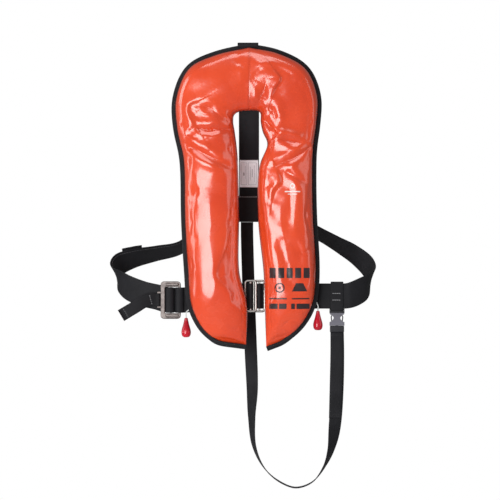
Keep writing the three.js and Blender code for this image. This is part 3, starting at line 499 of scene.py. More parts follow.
def polished_steel(name="polished_steel", color=(0.44, 0.42, 0.4), low=0.24, high=0.38):
    s = Shader(name, color, low, 1.0)
    scratches = s.noise(90, 5, stretch=(1, 1, 14), roughness=0.7)
    s.rough(s.span(scratches, 0.3, 0.7, low, high))
    s.tint(s.cloudy(25, 3, 0.4, 0.7), color, [c * 0.82 for c in color])
    s.bump((scratches, 0.00004, 0.25))
    return s.material


def satin_metal():
    """Warm grey satin finish of the adjuster buckle."""
    color = (0.21, 0.185, 0.175)
    s = Shader("satin_metal", color, 0.36, 0.9)
    s.tint(s.cloudy(60, 3, 0.35, 0.7), color, (0.17, 0.145, 0.14))
    s.rough(s.cloudy(120, 3, 0.3, 0.7, 0.36, 0.5))
    s.bump((s.noise(700, 2), 0.00006, 0.35))
    return s.material


def moulded(name, color, roughness, grain=900, depth=0.00006, **constants):
    """Moulded plastic with a fine grain and slightly worn tone."""
    s = Shader(name, color, roughness, **constants)
    s.tint(s.cloudy(35, 4, 0.35, 0.75), color, [min(c * 1.35 + 0.004, 1) for c in color])
    s.rough(s.cloudy(80, 3, 0.3, 0.7, roughness * 0.85, roughness * 1.15))
    s.bump((s.noise(grain, 2), depth, 0.4))
    return s.material


BRAID_PITCH = 0.0016


def braided_cord():
    s = Shader("braided_cord", (0.72, 0.74, 0.72), 0.5, Sheen_Weight=0.2)
    along, around = s.lay()
    strands = [s.math("SINE", s.math("MULTIPLY", s.math(way, along, around), 2 * math.pi / BRAID_PITCH))
               for way in ("ADD", "SUBTRACT")]
    braid = s.math("MAXIMUM", *strands)
    s.tint(s.span(braid, -1, 1, 0, 1), (0.5, 0.52, 0.5), (0.78, 0.8, 0.78))
    s.bump((braid, 0.0002, 0.6))
    return s.material


def bladder_fabric():
    s = Shader("bladder_fabric", (0.78, 0.47, 0.02), 0.45, Coat_Weight=0.2)
    s.tint(s.cloudy(20, 3, 0.35, 0.7), (0.8, 0.48, 0.02), (0.68, 0.38, 0.015))
    s.bump((s.noise(30, 3), 0.002, 0.5), (s.weave(0.0008), 0.0001, 0.4))
    return s.material


def pile_tape():
    """Hook and loop tape."""
    s = Shader("pile_tape", (0.02, 0.02, 0.022), 0.9, Sheen_Weight=0.5)
    s.tint(s.noise(600, 2), (0.012, 0.012, 0.014), (0.05, 0.05, 0.055))
    s.bump((s.noise(900, 2), 0.0006, 0.8))
    return s.material


def ink(name, color):
    s = Shader(name, color, 0.4)
    s.tint(s.cloudy(300, 3, 0.5, 0.75, 0, 0.35), color, [c * 1.6 + 0.01 for c in color])
    s.rough(s.cloudy(60, 2, 0.3, 0.7, 0.28, 0.42))
    return s.material


BLACK, WORN = (0.0045, 0.0045, 0.006), (0.0135, 0.0135, 0.0165)
COVER = coated_fabric()
LINING = lining_fabric()
EDGE_TAPE = woven("edge_tape", (0.0055, 0.0055, 0.007), (0.018, 0.018, 0.021), 0.0012, 0.004, 0.7, 0.08)
BELT_WEB = woven("belt_webbing", BLACK, WORN, 0.0022, 0.0125)
STRAP_WEB = woven("strap_webbing", BLACK, WORN, 0.0018, 0.008)
CROTCH_WEB = woven("crotch_webbing", BLACK, WORN, 0.0016, 0.00625)
LABEL = label_fabric()
STEEL = polished_steel()
BUCKLE = satin_metal()
SNAP_DARK = moulded("snap_plastic", (0.009, 0.009, 0.012), 0.38, Specular_IOR_Level=0.35)
SNAP_LIGHT = moulded("snap_socket_plastic", (0.105, 0.103, 0.125), 0.34)
TOGGLE = moulded("toggle_plastic", (0.4, 0.003, 0.014), 0.22, grain=300, depth=0.00003,
                 Coat_Weight=0.4)
CORD = braided_cord()
BLADDER = bladder_fabric()
PILE = pile_tape()
INFLATOR = moulded("inflator_plastic", (0.022, 0.023, 0.026), 0.45)
CYLINDER = polished_steel("plated_cylinder", (0.55, 0.56, 0.58), 0.22, 0.36)
BRASS = polished_steel("plain_brass", (0.52, 0.34, 0.09), 0.25, 0.4)
WHISTLE = moulded("whistle_plastic", (0.85, 0.34, 0.01), 0.3)
LENS = moulded("light_lens", (0.85, 0.88, 0.9), 0.08, Transmission_Weight=0.6)
THREAD_PALE = woven("pale_thread", (0.22, 0.22, 0.23), (0.36, 0.36, 0.37), 0.0008, 0.001, 0.6, 0.1)
THREAD_DARK = woven("dark_thread", (0.02, 0.02, 0.022), (0.06, 0.06, 0.065), 0.0008, 0.001, 0.6, 0.2)
THREAD_GREY = woven("grey_thread", (0.045, 0.045, 0.05), (0.1, 0.1, 0.11), 0.0008, 0.001, 0.6, 0.05)
THREAD_ORANGE = woven("orange_thread", (0.42, 0.03, 0.01), (0.6, 0.06, 0.02), 0.0008, 0.001, 0.6, 0.1)
INK_DARK = ink("dark_ink", (0.03, 0.018, 0.02))
INK_PALE = ink("pale_ink", (0.72, 0.62, 0.6))

# ---------------------------------------------------------------- cords

# Stops of a strap: x, y, z of its middle, then the direction of its width.
CROTCH_ROUTE = [
    (0.175, 0.022, -0.437, 1, 0, 0),
    (0.1758, 0.023, -0.48, 1, 0, 0),
    (0.1748, 0.024, -0.545, 1, 0, 0),
    (0.171, 0.026, -0.61, 1, 0.1, 0),
    (0.163, 0.03, -0.668, 0.6, 0.8, 0),
    (0.15, 0.036, -0.703, 0.25, 1, 0),
    (0.126, 0.044, -0.735, 0.05, 1, 0),
    (0.092, 0.054, -0.747, 0, 1, 0),
    (0.056, 0.064, -0.733, 0, 1, 0),
    (0.028, 0.074, -0.706, -0.1, 1, 0),
    (0.01, 0.082, -0.665, -0.3, 0.95, 0),
    (0.0055, 0.088, -0.61, -0.55, 0.83, 0),
    (0.0065, 0.094, -0.552, -0.85, 0.4, 0),
    (0.0035, 0.1, -0.472, -1, 0.05, 0),
    (-0.001, 0.106, -0.35, -1, 0, 0),
    (-0.004, 0.11, -0.24, -1, 0, 0),
    (-0.004, 0.11, -0.2191, -1, 0, 0),
]
TAIL_ROUTE = [
    (0.1734, 0.0197, -0.437, 1, 0, 0),
    (0.1734, 0.0206, -0.48, 1, 0, 0),
    (0.172, 0.0216, -0.545, 1, 0, 0),
    (0.1705, 0.0232, -0.608, 1, 0.08, 0),
]
CORD_ROUTES = {
    "left": [
        (-0.1, -0.0157, -0.3681), (-0.1, -0.014, -0.371), (-0.101, -0.004, -0.3765),
        (-0.101, 0.005, -0.377), (-0.104, 0.0096, -0.379), (-0.1125, 0.0105, -0.3877),
        (-0.124, 0.0105, -0.399), (-0.124, 0.0105, -0.4087),
    ],
    "right": [
        (0.111, -0.0157, -0.3381), (0.111, -0.014, -0.341), (0.112, -0.004, -0.3465),
        (0.112, 0.005, -0.347), (0.115, 0.0096, -0.349), (0.124, 0.0105, -0.363),
        (0.136, 0.0105, -0.385), (0.136, 0.0105, -0.3947),
    ],
}
CORD_RADIUS = 0.0012


def crotch_strap():
    """The free strap between the side-release buckle and the back strap, with its doubled tail."""
    piece = webbing("crotch_webbing", [strap(CROTCH_ROUTE, CROTCH_STRAP)], CROTCH_WEB, ["crotch_strap"])
    tail = webbing("crotch_tail_webbing", [strap(TAIL_ROUTE, CROTCH_STRAP)], CROTCH_WEB, ["crotch_tail"])


def pull_cords():
    """Thin cords from the inflator levers, out of the back panel, to the toggles."""
    for side, route in CORD_ROUTES.items():
        path = catmull(route, np.linspace(0, 1, 60))
        points, faces, uv = tube(path, CORD_RADIUS, 10)
        piece = mesh_object(f"cord_{side}", points, faces, CORD, uv)
        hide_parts(f"pull_cord_{side}")
        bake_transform(piece)


# Radius and height under the end of the cord.
TEARDROP = [(0.0, -0.0382), (0.0042, -0.038), (0.0075, -0.0357), (0.0094, -0.0289), (0.0084, -0.0217),
            (0.0061, -0.0137), (0.004, -0.005), (0.0034, -0.0016), (0.0022, 0.0)]


def toggles():
    """Teardrop pull toggles."""
    profile = catmull(TEARDROP, np.linspace(0, 1, 40))
    for side, route in CORD_ROUTES.items():
        x, y, z = route[-1]
        points, faces, _ = lathe(profile, (x, y, z - 0.0003))
        make_piece(f"toggle_{side}", points, faces, TOGGLE, "toggle", body=f"pull_{side}",
                   replaced=[f"pull_toggle_{side}"])


toggles()
crotch_strap()
pull_cords()

# ---------------------------------------------------------------- cover outline

TOP = COLLAR_TOP - BINDING
END = LOBE_END + BINDING
# Stations from the middle of the collar to the lobe's end:
# outer x as a share of the half width, outer z, inner x, inner z, crown as a share.
HALVES = {
    "left": (-1, COLLAR_HALF + SKEW - BINDING, [
        (0.0, TOP, 0.0, 0.0, 0.9),
        (0.46, TOP - 0.015, 0.018, -0.002, 0.95),
        (0.82, TOP - 0.041, 0.029, -0.009, 0.97),
        (1.0, TOP - 0.1, 0.031, -0.022, 0.95),
        (0.99, TOP - 0.158, 0.028, -0.042, 0.95),
        (0.9, TOP - 0.22, 0.0225, -0.09, 0.97),
        (0.88, TOP - 0.335, 0.0195, -0.212, 1.05),
        (0.84, END + 0.15, 0.019, END + 0.145, 1),
        (0.79, END + 0.078, 0.0045, END + 0.084, 0.86),
        (0.64, END + 0.034, 0.004, END + 0.036, 0.5),
        (0.43, END + 0.007, 0.006, END, 0),
    ]),
    "right": (1, COLLAR_HALF - SKEW - BINDING, [
        (0.0, TOP, 0.0, 0.0, 0.9),
        (0.43, TOP - 0.012, 0.017, -0.001, 0.95),
        (0.83, TOP - 0.042, 0.0225, -0.006, 0.97),
        (1.0, TOP - 0.095, 0.023, -0.022, 0.95),
        (0.99, TOP - 0.148, 0.027, -0.042, 0.9),
        (0.94, TOP - 0.2, 0.036, -0.066, 0.9),
        (0.93, TOP - 0.25, 0.02, -0.112, 1),
        (0.94, TOP - 0.335, 0.018, -0.215, 1.05),
        (0.98, END + 0.146, 0.0285, END + 0.145, 1),
        (0.93, END + 0.082, 0.031, END + 0.08, 0.87),
        (0.76, END + 0.04, 0.0325, END + 0.036, 0.5),
        (0.49, END + 0.008, 0.034, END - 0.004, 0),
    ]),
}


def cover_edges(side, shares):
    """Outer points, inner points and crown of one half."""
    sign, half, stations = HALVES[side]
    outer = catmull([(sign * half * s[0], 0, s[1]) for s in stations], shares)
    inner = catmull([(sign * s[2], s[4] * CROWN, s[3]) for s in stations], shares)
    crown = np.maximum(inner[:, 1], 0)
    inner[:, 1] = 0
    return outer, inner, crown


def dome(side, rows, columns):
    """The padded front of one half as a grid of points."""
    shares = np.linspace(0, 1, rows)
    outer, inner, crown = cover_edges(side, shares)
    outer[0, 0] = inner[0, 0] = HALVES[side][0] * 0.0002
    angle = np.linspace(0, math.pi, columns)
    across = (1 - np.cos(angle)) / 2
    grid = outer[:, None] + (inner - outer)[:, None] * across[None, :, None]
    grid[:, :, 1] = SEAM_Y - crown[:, None] * (np.sin(angle) ** DOME)[None, :]
    return grid


def grid_normals(grid):
    """Unit normals of a grid, towards the front."""
    along = np.gradient(grid, axis=0)
    across = np.gradient(grid, axis=1)
    normal = unit(np.cross(along, across))
    flip = np.where(np.sum(normal[:, :, 1]) > 0, -1, 1)
    return normal * flip


def refine(grid, rows, columns):
    """The same grid, resampled smoothly."""
    r, c, _ = grid.shape
    grid = catmull(grid.reshape(r, -1), np.linspace(0, 1, rows)).reshape(rows, c, 3)
    turned = grid.transpose(1, 0, 2).reshape(c, -1)
    return catmull(turned, np.linspace(0, 1, columns)).reshape(columns, rows, 3).transpose(1, 0, 2)


# Folds of each half, seen from the front, in millimetres: kind, depth, reach, then (x, z) stops.
# A crease is a sharp valley, a ridge a round rise, a tent a rise with a sharp top, a fold a rise
# that is steep on its left, and a step a rise to the left of the line that dies away from it.
FOLDS = {
    "left": [
        ("crease", 7, 6, [(-106, -33), (-84, -40), (-56, -38), (-22, -40)]),
        ("step", 5, 8, [(-101, -36), (-114, -14), (-116, 8), (-98, 17)]),
        ("ridge", 4.5, 11, [(-108, 14), (-84, 24), (-60, 34), (-34, 48)]),
        ("crease", 3.5, 6, [(-100, 8), (-76, 2), (-54, -14)]),
        ("ridge", 6, 13, [(-96, -23), (-62, -20), (-28, -24)]),
        ("ridge", 4, 9, [(-118, -52), (-90, -55), (-58, -56)]),
        ("crease", 6, 6, [(-128, -66), (-96, -83), (-62, -101), (-24, -118)]),
        ("ridge", 6, 8.5, [(-134, -78), (-106, -98), (-78, -111), (-52, -118)]),
        ("ridge", 3, 7, [(-90, -58), (-84, -70), (-76, -82)]),
        ("tent", 4.2, 16, [(-84, -140), (-78, -190), (-75, -222), (-78, -256), (-66, -324),
                           (-71, -364), (-84, -388)]),
        ("step", 3.5, 15, [(-18, -386), (-40, -352), (-62, -325), (-42, -262), (-30, -205)]),
        ("crease", 2, 6, [(-136, -150), (-122, -165), (-112, -190)]),
        ("ridge", 2.5, 9, [(-124, -352), (-104, -372), (-86, -392)]),
        ("ridge", 2.5, 12, [(-66, -392), (-52, -420), (-50, -444)]),
    ],
    "right": [
        ("step", 4.5, 7, [(44, 20), (50, 40), (62, 60), (47, 82)]),
        ("crease", 6, 8, [(34, 52), (26, 30), (18, 9)]),
        ("ridge", 4.5, 7.5, [(40, 18), (56, 10), (62, -4)]),
        ("ridge", 4, 6.5, [(44, 0), (58, -10), (64, -28)]),
        ("crease", 3.5, 5, [(36, 4), (48, -6), (52, -20)]),
        ("crease", 6, 6, [(24, -14), (38, -30), (52, -45)]),
        ("fold", 6.5, 7.5, [(50, -36), (59, -46), (51, -58), (46, -72)]),
        ("ridge", 6, 6.5, [(48, -40), (80, -47), (106, -56)]),
        ("crease", 5, 6, [(56, -56), (82, -62), (108, -66)]),
        ("crease", 6, 6, [(130, -64), (112, -80), (84, -96), (44, -112)]),
        ("ridge", 4.5, 7.5, [(53, -62), (43, -90), (36, -116)]),
        ("step", 5, 7.5, [(44, -186), (48, -160), (62, -140), (52, -112)]),
        ("crease", 4, 6, [(70, -118), (90, -132), (118, -146)]),
        ("crease", 3, 5.5, [(34, -152), (42, -146), (50, -150)]),
        ("tent", 4.2, 16, [(62, -176), (61, -206), (67, -245), (74, -283), (81, -312), (78, -340)]),
        ("tent", 3, 9, [(37, -196), (38, -250), (39, -306)]),
        ("tent", 2.2, 10, [(104, -190), (112, -225), (104, -260)]),
        ("crease", 3, 7, [(124, -268), (106, -282), (94, -262)]),
        ("ridge", 3, 11, [(120, -300), (106, -336), (112, -372)]),
        ("crease", 2.5, 7, [(104, -420), (80, -414), (66, -424)]),
    ],
}
FOLD_DEPTH, FOLD_REACH = 0.72, 1.3  # how strongly the folds above show
SEAM_INSET = 0.0095  # closure seam, from the inner edge
SEAM_SPAN = (0.36, 0.93)  # and its shares of the way from the collar to the lobe's end
HEM_INSET = 0.013  # turned hem inside the binding of the collar
HEM_SPAN = (0.02, 0.42)


def inset_line(side, first, last, inset, outer=True):
    """A line that runs beside the outer or inner edge, as (x, z) stops."""
    a, b, _ = cover_edges(side, np.linspace(first, last, 24))
    towards = unit(b - a) * inset
    line = a + towards if outer else b - towards
    return [(p[0], p[2]) for p in line]


def in_metres(folds):
    return [(kind, depth / 1000, reach / 1000, np.array(stops) / 1000)
            for kind, depth, reach, stops in folds]


LINE_POINTS = 60  # points along each fold


def fold_height(kind, distance, side, reach):
    """Height of one fold at a distance from its line; side is 1 on the left of the line."""
    if kind == "crease":
        shoulders = 0.55 * np.exp(-(((distance - 1.6 * reach) / reach) ** 2))
        return -np.exp(-distance / (0.45 * reach)) + shoulders
    if kind == "groove":
        return -np.exp(-((distance / reach) ** 2))
    if kind == "tent":
        return np.exp(-distance / reach)
    if kind == "fold":
        wide = np.where(side > 0, reach, 0.35 * reach)
        return np.exp(-((distance / wide) ** 2))
    if kind == "step":
        return np.tanh(side * distance / (0.3 * reach)) * np.exp(-((distance / (2 * reach)) ** 2))
    return np.exp(-((distance / reach) ** 2)) ** 0.8


def relief(grid, folds):
    """Height of the folds over every point of a grid."""
    flat = grid[:, :, [0, 2]].reshape(-1, 2)
    total = np.zeros(len(flat))
    for kind, depth, reach, stops in folds:
        if kind != "groove":
            depth, reach = depth * FOLD_DEPTH, reach * FOLD_REACH
        line = catmull(stops, np.linspace(0, 1, LINE_POINTS))
        gap = flat[:, None] - line[None]
        far = np.linalg.norm(gap, axis=2)
        near = far.argmin(axis=1)
        distance = far[np.arange(len(flat)), near]
        direction = np.gradient(line, axis=0)[near]
        offset = gap[np.arange(len(flat)), near]
        side = np.sign(direction[:, 0] * offset[:, 1] - direction[:, 1] * offset[:, 0])
        fade = np.sin(math.pi * np.clip((near + 0.5) / LINE_POINTS, 0.04, 0.96)) ** 0.6
        total += depth * fold_height(kind, distance, side, reach) * fade
    return total.reshape(grid.shape[:2])


def undulation(grid, scale, seed):
    """Slow unevenness over a grid, from -1 to 1."""
    flat = grid.reshape(-1, 3)
    values = [noise.noise(Vector((p[0] * scale + seed, p[1] * scale, p[2] * scale * 0.7))) for p in flat]
    return np.array(values).reshape(grid.shape[:2])


SWELL = {
    "quality": 6, "mass": 0.25, "tension_stiffness": 25, "compression_stiffness": 25,
    "shear_stiffness": 8, "bending_stiffness": 12, "shrink_min": -0.012,
    "use_pressure": True, "uniform_pressure_force": 4,
}
SWELL_FRAMES = 16
SWELL_LEAST, SWELL_MOST = -0.0012, 0.0035


def inflate(name, grid):
    """Lets the grid swell as cloth with its border held, and returns how far it rose."""
    rows, columns, _ = grid.shape
    mesh = bpy.data.meshes.new(name)
    mesh.from_pydata(grid.reshape(-1, 3).tolist(), [], grid_faces(rows, columns))
    cloth = bpy.data.objects.new(name, mesh)
    bpy.context.collection.objects.link(cloth)
    held = cloth.vertex_groups.new(name="held")
    index = np.arange(rows * columns).reshape(rows, columns)
    border = np.concatenate([index[0], index[-1], index[:, 0], index[:, -1]])
    held.add(sorted({int(i) for i in border}), 1.0, "REPLACE")
    swell = cloth.modifiers.new("cloth", "CLOTH")
    swell.settings.vertex_group_mass = "held"
    for key, value in SWELL.items():
        setattr(swell.settings, key, value)
    swell.settings.effector_weights.gravity = 0
    swell.collision_settings.use_collision = False
    swell.point_cache.frame_end = SWELL_FRAMES
    for step in range(1, SWELL_FRAMES + 1):
        bpy.context.scene.frame_set(step)
    seen = cloth.evaluated_get(bpy.context.evaluated_depsgraph_get())
    flat = np.zeros(rows * columns * 3)
    seen.data.vertices.foreach_get("co", flat)
    moved = flat.reshape(rows, columns, 3) - grid
    bpy.context.scene.frame_set(1)
    bpy.data.objects.remove(cloth)
    return np.clip(np.sum(moved * grid_normals(grid), axis=2), SWELL_LEAST, SWELL_MOST)


COARSE = (96, 26)  # rows and columns of the grid that swells
FINE = (380, 100)  # and of the one that gets the folds
SLACK = 0.002  # height of the slow unevenness
END_ROWS = 14  # rows over which every fold dies away at both ends


def folded_front(side, seed):
    """The padded front of one half, swollen and folded, as a fine grid."""
    grid = dome(side, *COARSE)
    rise = undulation(grid, 26, seed) * SLACK + inflate(f"swell_{side}", grid)
    fine = refine(grid, *FINE)
    rise = refine(np.repeat(rise[..., None], 3, axis=2), *FINE)[:, :, 0]
    seam = ("groove", 0.0012, 0.0012, inset_line(side, *SEAM_SPAN, SEAM_INSET, outer=False))
    hem = ("fold", 0.0014, 0.005, inset_line(side, *HEM_SPAN, HEM_INSET))
    rise = rise + relief(fine, [*in_metres(FOLDS[side]), seam, hem])
    rows, columns = FINE
    edge = np.sin(np.linspace(0, math.pi, columns)) ** 0.8
    ends = np.clip(np.minimum(np.arange(rows), np.arange(rows)[::-1]) / END_ROWS, 0, 1)
    deepest = -0.001 - 0.0075 * edge[None, :] ** 2
    rise = np.maximum(rise, deepest) * ends[:, None]
    # Near the border the cover may only rise forwards, so that its outline stays.
    ahead = edge[None, :, None]
    towards = unit(grid_normals(fine) * ahead + np.array([0, -1, 0]) * (1 - ahead))
    fine = fine + towards * (rise * edge[None, :])[..., None]
    fine[:, :, 1] = np.minimum(fine[:, :, 1], SEAM_Y)
    return fine


def padded_fronts():
    """The two halves of the padded cover front; returns their mesh surfaces for the prints."""
    surfaces = {}
    for seed, side in ((0, "left"), (7, "right")):
        points = folded_front(side, seed).reshape(-1, 3)
        faces = grid_faces(*FINE)
        if side == "left":
            faces = flipped(faces)
        piece = make_piece(f"padded_front_{side}", points, faces, COVER, "cover",
                           replaced=[f"cover_front_{side}"])
        surfaces[side] = BVHTree.FromPolygons(points.tolist(), faces)
    return surfaces


SURFACES = padded_fronts()


def back_panel():
    """The flat back of the cover, with a little slack."""
    rows, columns = 160, 24
    parts = []
    for side in ("left", "right"):
        outer, inner, _ = cover_edges(side, np.linspace(0, 1, rows))
        share = np.linspace(0, 1, columns)
        grid = outer[:, None] + (inner - outer)[:, None] * share[None, :, None]
        slack = 0.5 + 0.5 * undulation(grid, 42, 11)
        edge = np.sin(math.pi * share)[None, :] ** 0.5
        grid[:, :, 1] = BACK_FACE - 0.0019 * slack * edge
        faces = grid_faces(rows, columns)
        parts.append((grid.reshape(-1, 3), faces if side == "left" else flipped(faces), None))
    points, faces, _ = join_parts(parts)
    piece = make_piece("back_panel", points, faces, LINING, "lining", replaced=["cover_back"])
    thick = piece.modifiers.new("thick", "SOLIDIFY")
    thick.thickness = 0.0008
    thick.offset = -1


back_panel()

# ---------------------------------------------------------------- binding and seams


TAPE_WIDER = 1.12  # the folded tape stands a little past the model's binding
TAPE_SEAM = 0.0016  # its stitches, from the cover's edge
TAPE_FACES = (-0.0025, 0.0061)  # depths of its front and back stitches


def binding_path(count=150):
    """Points on the cover's edge, from the left lobe's end over the collar to the right's."""
    runs = []
    for side in ("left", "right"):
        outer, inner, _ = cover_edges(side, np.linspace(0, 1, count))
        tip = inner[-1] + (outer[-1] - inner[-1]) * np.linspace(0, 1, 14)[:-1, None]
        runs.append(np.vstack([tip, outer[::-1]]))
    path = np.vstack([runs[0], runs[1][::-1][1:]])
    for _ in range(12):
        path[1:-1] = (path[:-2] + 2 * path[1:-1] + path[2:]) / 4
    return path


def outwards(path):
    """Unit directions away from the cover, in its own plane."""
    along = unit(np.gradient(path, axis=0))
    return np.stack([-along[:, 2], np.zeros(len(path)), along[:, 0]], axis=1)


def edge_binding():
    """Tape folded over the cover's edge, with a row of stitches on both faces."""
    path = binding_path()
    out = outwards(path)
    # Distance out from the cover's edge and depth, round the folded tape.
    section = np.array([
        (-0.0012, -0.0022), (0.0015, -0.0024), (0.004, -0.0022), (0.006, -0.0014),
        (0.0072, 0.0004), (0.0075, 0.002), (0.0072, 0.0036), (0.006, 0.0052),
        (0.004, 0.0058), (0.0015, 0.006), (-0.0012, 0.0059), (-0.0012, 0.0054),
        (0.0015, 0.005), (0.005, 0.004), (0.0062, 0.002), (0.005, -0.0002),
        (0.0015, -0.0014), (-0.0012, -0.0014)])
    n = len(section)
    reach = section[:, 0] * TAPE_WIDER
    depth = section[:, 1]
    points = path[:, None] + out[:, None] * reach[None, :, None]
    points[:, :, 1] = depth[None]
    faces = flipped(grid_faces(len(path), n, close_columns=True) + end_faces(len(path), n))
    u = np.repeat(lengths(path), n)
    v = np.tile(lengths(np.stack([reach, depth], axis=1)), len(path))
    make_piece("folded_binding", points.reshape(-1, 3), faces, EDGE_TAPE, "binding",
               replaced=["edge_binding"], uv=np.stack([u, v], axis=1))
    rows = []
    for y in TAPE_FACES:
        row = path + out * TAPE_SEAM
        row[:, 1] = y
        rows.append(row)
    stitches("binding_stitches", rows, THREAD_DARK, "binding")


STITCH_SIDES = 5


def stitches(name, paths, material, slot, length=0.0028, gap=0.0012, radius=0.00028, body="jacket"):
    """Rows of short thread stitches laid along paths."""
    shares = np.array([0, 0.12, 0.5, 0.88, 1])
    fat = radius * np.array([0.35, 0.9, 1, 0.9, 0.35])
    faces = grid_faces(len(shares), STITCH_SIDES, close_columns=True)
    faces += end_faces(len(shares), STITCH_SIDES)
    parts = []
    for path in paths:
        path = np.asarray(path, float)
        run = lengths(path)
        starts = np.arange(0, run[-1] - length, length + gap)
        for start in starts:
            at = start + length * shares
            middle = np.stack([np.interp(at, run, path[:, k]) for k in range(3)], axis=1)
            along = unit(middle[-1] - middle[0])
            side = unit(np.cross(along, (0.3, 1, 0.2)))
            other = np.cross(along, side)
            angle = np.linspace(0, 2 * math.pi, STITCH_SIDES, endpoint=False)
            ring = (middle[:, None] + side * (fat[:, None] * np.cos(angle))[..., None]
                    + other * (fat[:, None] * np.sin(angle))[..., None])
            parts.append((ring.reshape(-1, 3), faces, None))
    webbing(name, parts, material, (), body, slot)


def level_row(x, y, z, half, count):
    """Points of a level row of stitches."""
    return [(x + dx, y, z) for dx in np.linspace(-half, half, count)]


def row_across(route, share, half, count, lift):
    """Points of a row of stitches across a strap, just over its front face."""
    centre, _, wide, face = frames(route, np.array([share]))
    reach = np.linspace(-half, half, count)[:, None]
    return centre + wide * reach + face * lift * (-1 if face[0][1] > 0 else 1)


edge_binding()


def on_cover(side, x, z, lift=0.0002):
    """A point just over the padded front, or None beside it."""
    hit, normal, _, _ = SURFACES[side].ray_cast(Vector((x, -0.5, z)), Vector((0, 1, 0)))
    if hit is None:
        return None
    if normal.y > 0:
        normal = -normal
    return hit + normal * lift


THREAD_GAP = 0.0022  # from a seam to the stitches beside it


def laid_on(side, line):
    """The part of a line of (x, z) points that lies on the cover."""
    found = [on_cover(side, x, z) for x, z in line]
    return [point for point in found if point is not None]


def seam_threads():
    """Stitching beside the closure seam and down the middle of the collar."""
    paths = []
    for side in ("left", "right"):
        beside = inset_line(side, *SEAM_SPAN, SEAM_INSET + THREAD_GAP, outer=False)
        paths.append(laid_on(side, catmull(beside, np.linspace(0, 1, 220))))
        x = HALVES[side][0] * THREAD_GAP
        paths.append(laid_on(side, [(x, z) for z in np.linspace(0.006, TOP - 0.006, 60)]))
    stitches("cover_stitches", paths, THREAD_ORANGE, "cover", radius=0.00022)


seam_threads()


def collar_patch():
    """Webbing folded over the binding at the top of the collar."""
    stops = [(-0.002, y, z, 1, 0, 0) for y, z in (
        (0.0078, 0.1245), (0.008, 0.13), (0.006, 0.1326), (0.002, 0.133), (-0.002, 0.1326),
        (-0.004, 0.13), (-0.004, 0.125))]
    fold = strap(stops, BACK_STRAP + 0.001, thick=0.0012, step=0.0012)
    webbing("collar_fold", [fold], STRAP_WEB, ["collar_patch"])


collar_patch()

# ---------------------------------------------------------------- prints on the cover


PRINT_STEP = 0.0014
PRINT_LIFT = 0.00025


def printed(name, side, shapes, material):
    """Flat prints laid on the cover: each shape is a quad of (x, z) corners."""
    points, faces = [], []
    for corners in shapes:
        across = max(int(math.dist(corners[0], corners[1]) / PRINT_STEP), 1)
        down = max(int(math.dist(corners[0], corners[3]) / PRINT_STEP), 1)
        start = len(points)
        spots = []
        for i in range(down + 1):
            for j in range(across + 1):
                a, b = j / across, i / down
                weights = ((1 - a) * (1 - b), a * (1 - b), a * b, (1 - a) * b)
                x = sum(w * corner[0] for w, corner in zip(weights, corners))
                z = sum(w * corner[1] for w, corner in zip(weights, corners))
                spots.append(on_cover(side, x, z, PRINT_LIFT))
        if any(s is None for s in spots):
            continue
        points += [tuple(s) for s in spots]
        faces += flipped([[v + start for v in f] for f in grid_faces(down + 1, across + 1)])
    make_piece(name, points, faces, material, "cover")


def bar(x0, x1, z0, z1):
    return [(x0, z0), (x1, z0), (x1, z1), (x0, z1)]


def ring_quads(cx, cz, inner, outer, count=20):
    """A printed ring as quads."""
    angle = np.linspace(0, 2 * math.pi, count + 1)
    return [[(cx + radius * math.cos(turn), cz + radius * math.sin(turn))
             for radius, turn in ((inner, a), (outer, a), (outer, b), (inner, b))]
            for a, b in zip(angle[:-1], angle[1:])]


def cover_prints():
    """Generic marks in place of the printed words: plain blocks, rings, a trapezoid and rules."""
    dark = []
    block, pitch = 0.0118, 0.0166
    for k in range(5):
        left = 0.0405 + k * pitch
        dark.append(bar(left, left + block, -0.33, -0.31))
    dark += ring_quads(0.06, -0.349, 0.0072, 0.0098)
    dark += ring_quads(0.06, -0.349, 0.0001, 0.003, 12)
    dark.append([(0.084, -0.356), (0.114, -0.356), (0.106, -0.34), (0.092, -0.34)])
    for left, right in ((0.04, 0.074), (0.084, 0.118)):
        dark.append(bar(left, right, -0.3715, -0.369))
    for left, right in ((0.04, 0.056), (0.059, 0.0735), (0.0825, 0.09), (0.093, 0.119)):
        dark.append(bar(left, right, -0.3905, -0.38))
    printed("cover_print_dark", "right", dark, INK_DARK)
    pale = ring_quads(0.085, -0.1495, 0.003, 0.005, 16)
    pale.append(bar(0.07, 0.1, -0.162, -0.1595))
    pale.append(bar(0.076, 0.094, -0.1665, -0.1648))
    printed("cover_print_pale", "right", pale, INK_PALE)


cover_prints()

# ---------------------------------------------------------------- straps


def around(cx, cy, radius, start, stop, z, count=6, depth=None):
    """Stops round a standing bar, in degrees from +X, for webbing on edge."""
    angles = np.radians(np.linspace(start, stop, count))
    depth = depth or radius
    return [(cx + radius * math.cos(a), cy + depth * math.sin(a), z, 0, 0, 1) for a in angles]


def on_edge(points, z):
    """Stops at one height, from (x, y) points, for webbing on edge."""
    return [(x, y, z, 0, 0, 1) for x, y in points]


RING_BAR = {"left": (0.0032, 0.0095), "right": (0.0202, 0.0145)}
RING_WRAP = WIRE / 2 + SLIP + WEBBING / 2
FRAME_WRAP = BAR_RADIUS + SLIP + WEBBING / 2
ROLL = 0.0076  # half width of the loose roll of webbing round each bar of the adjuster


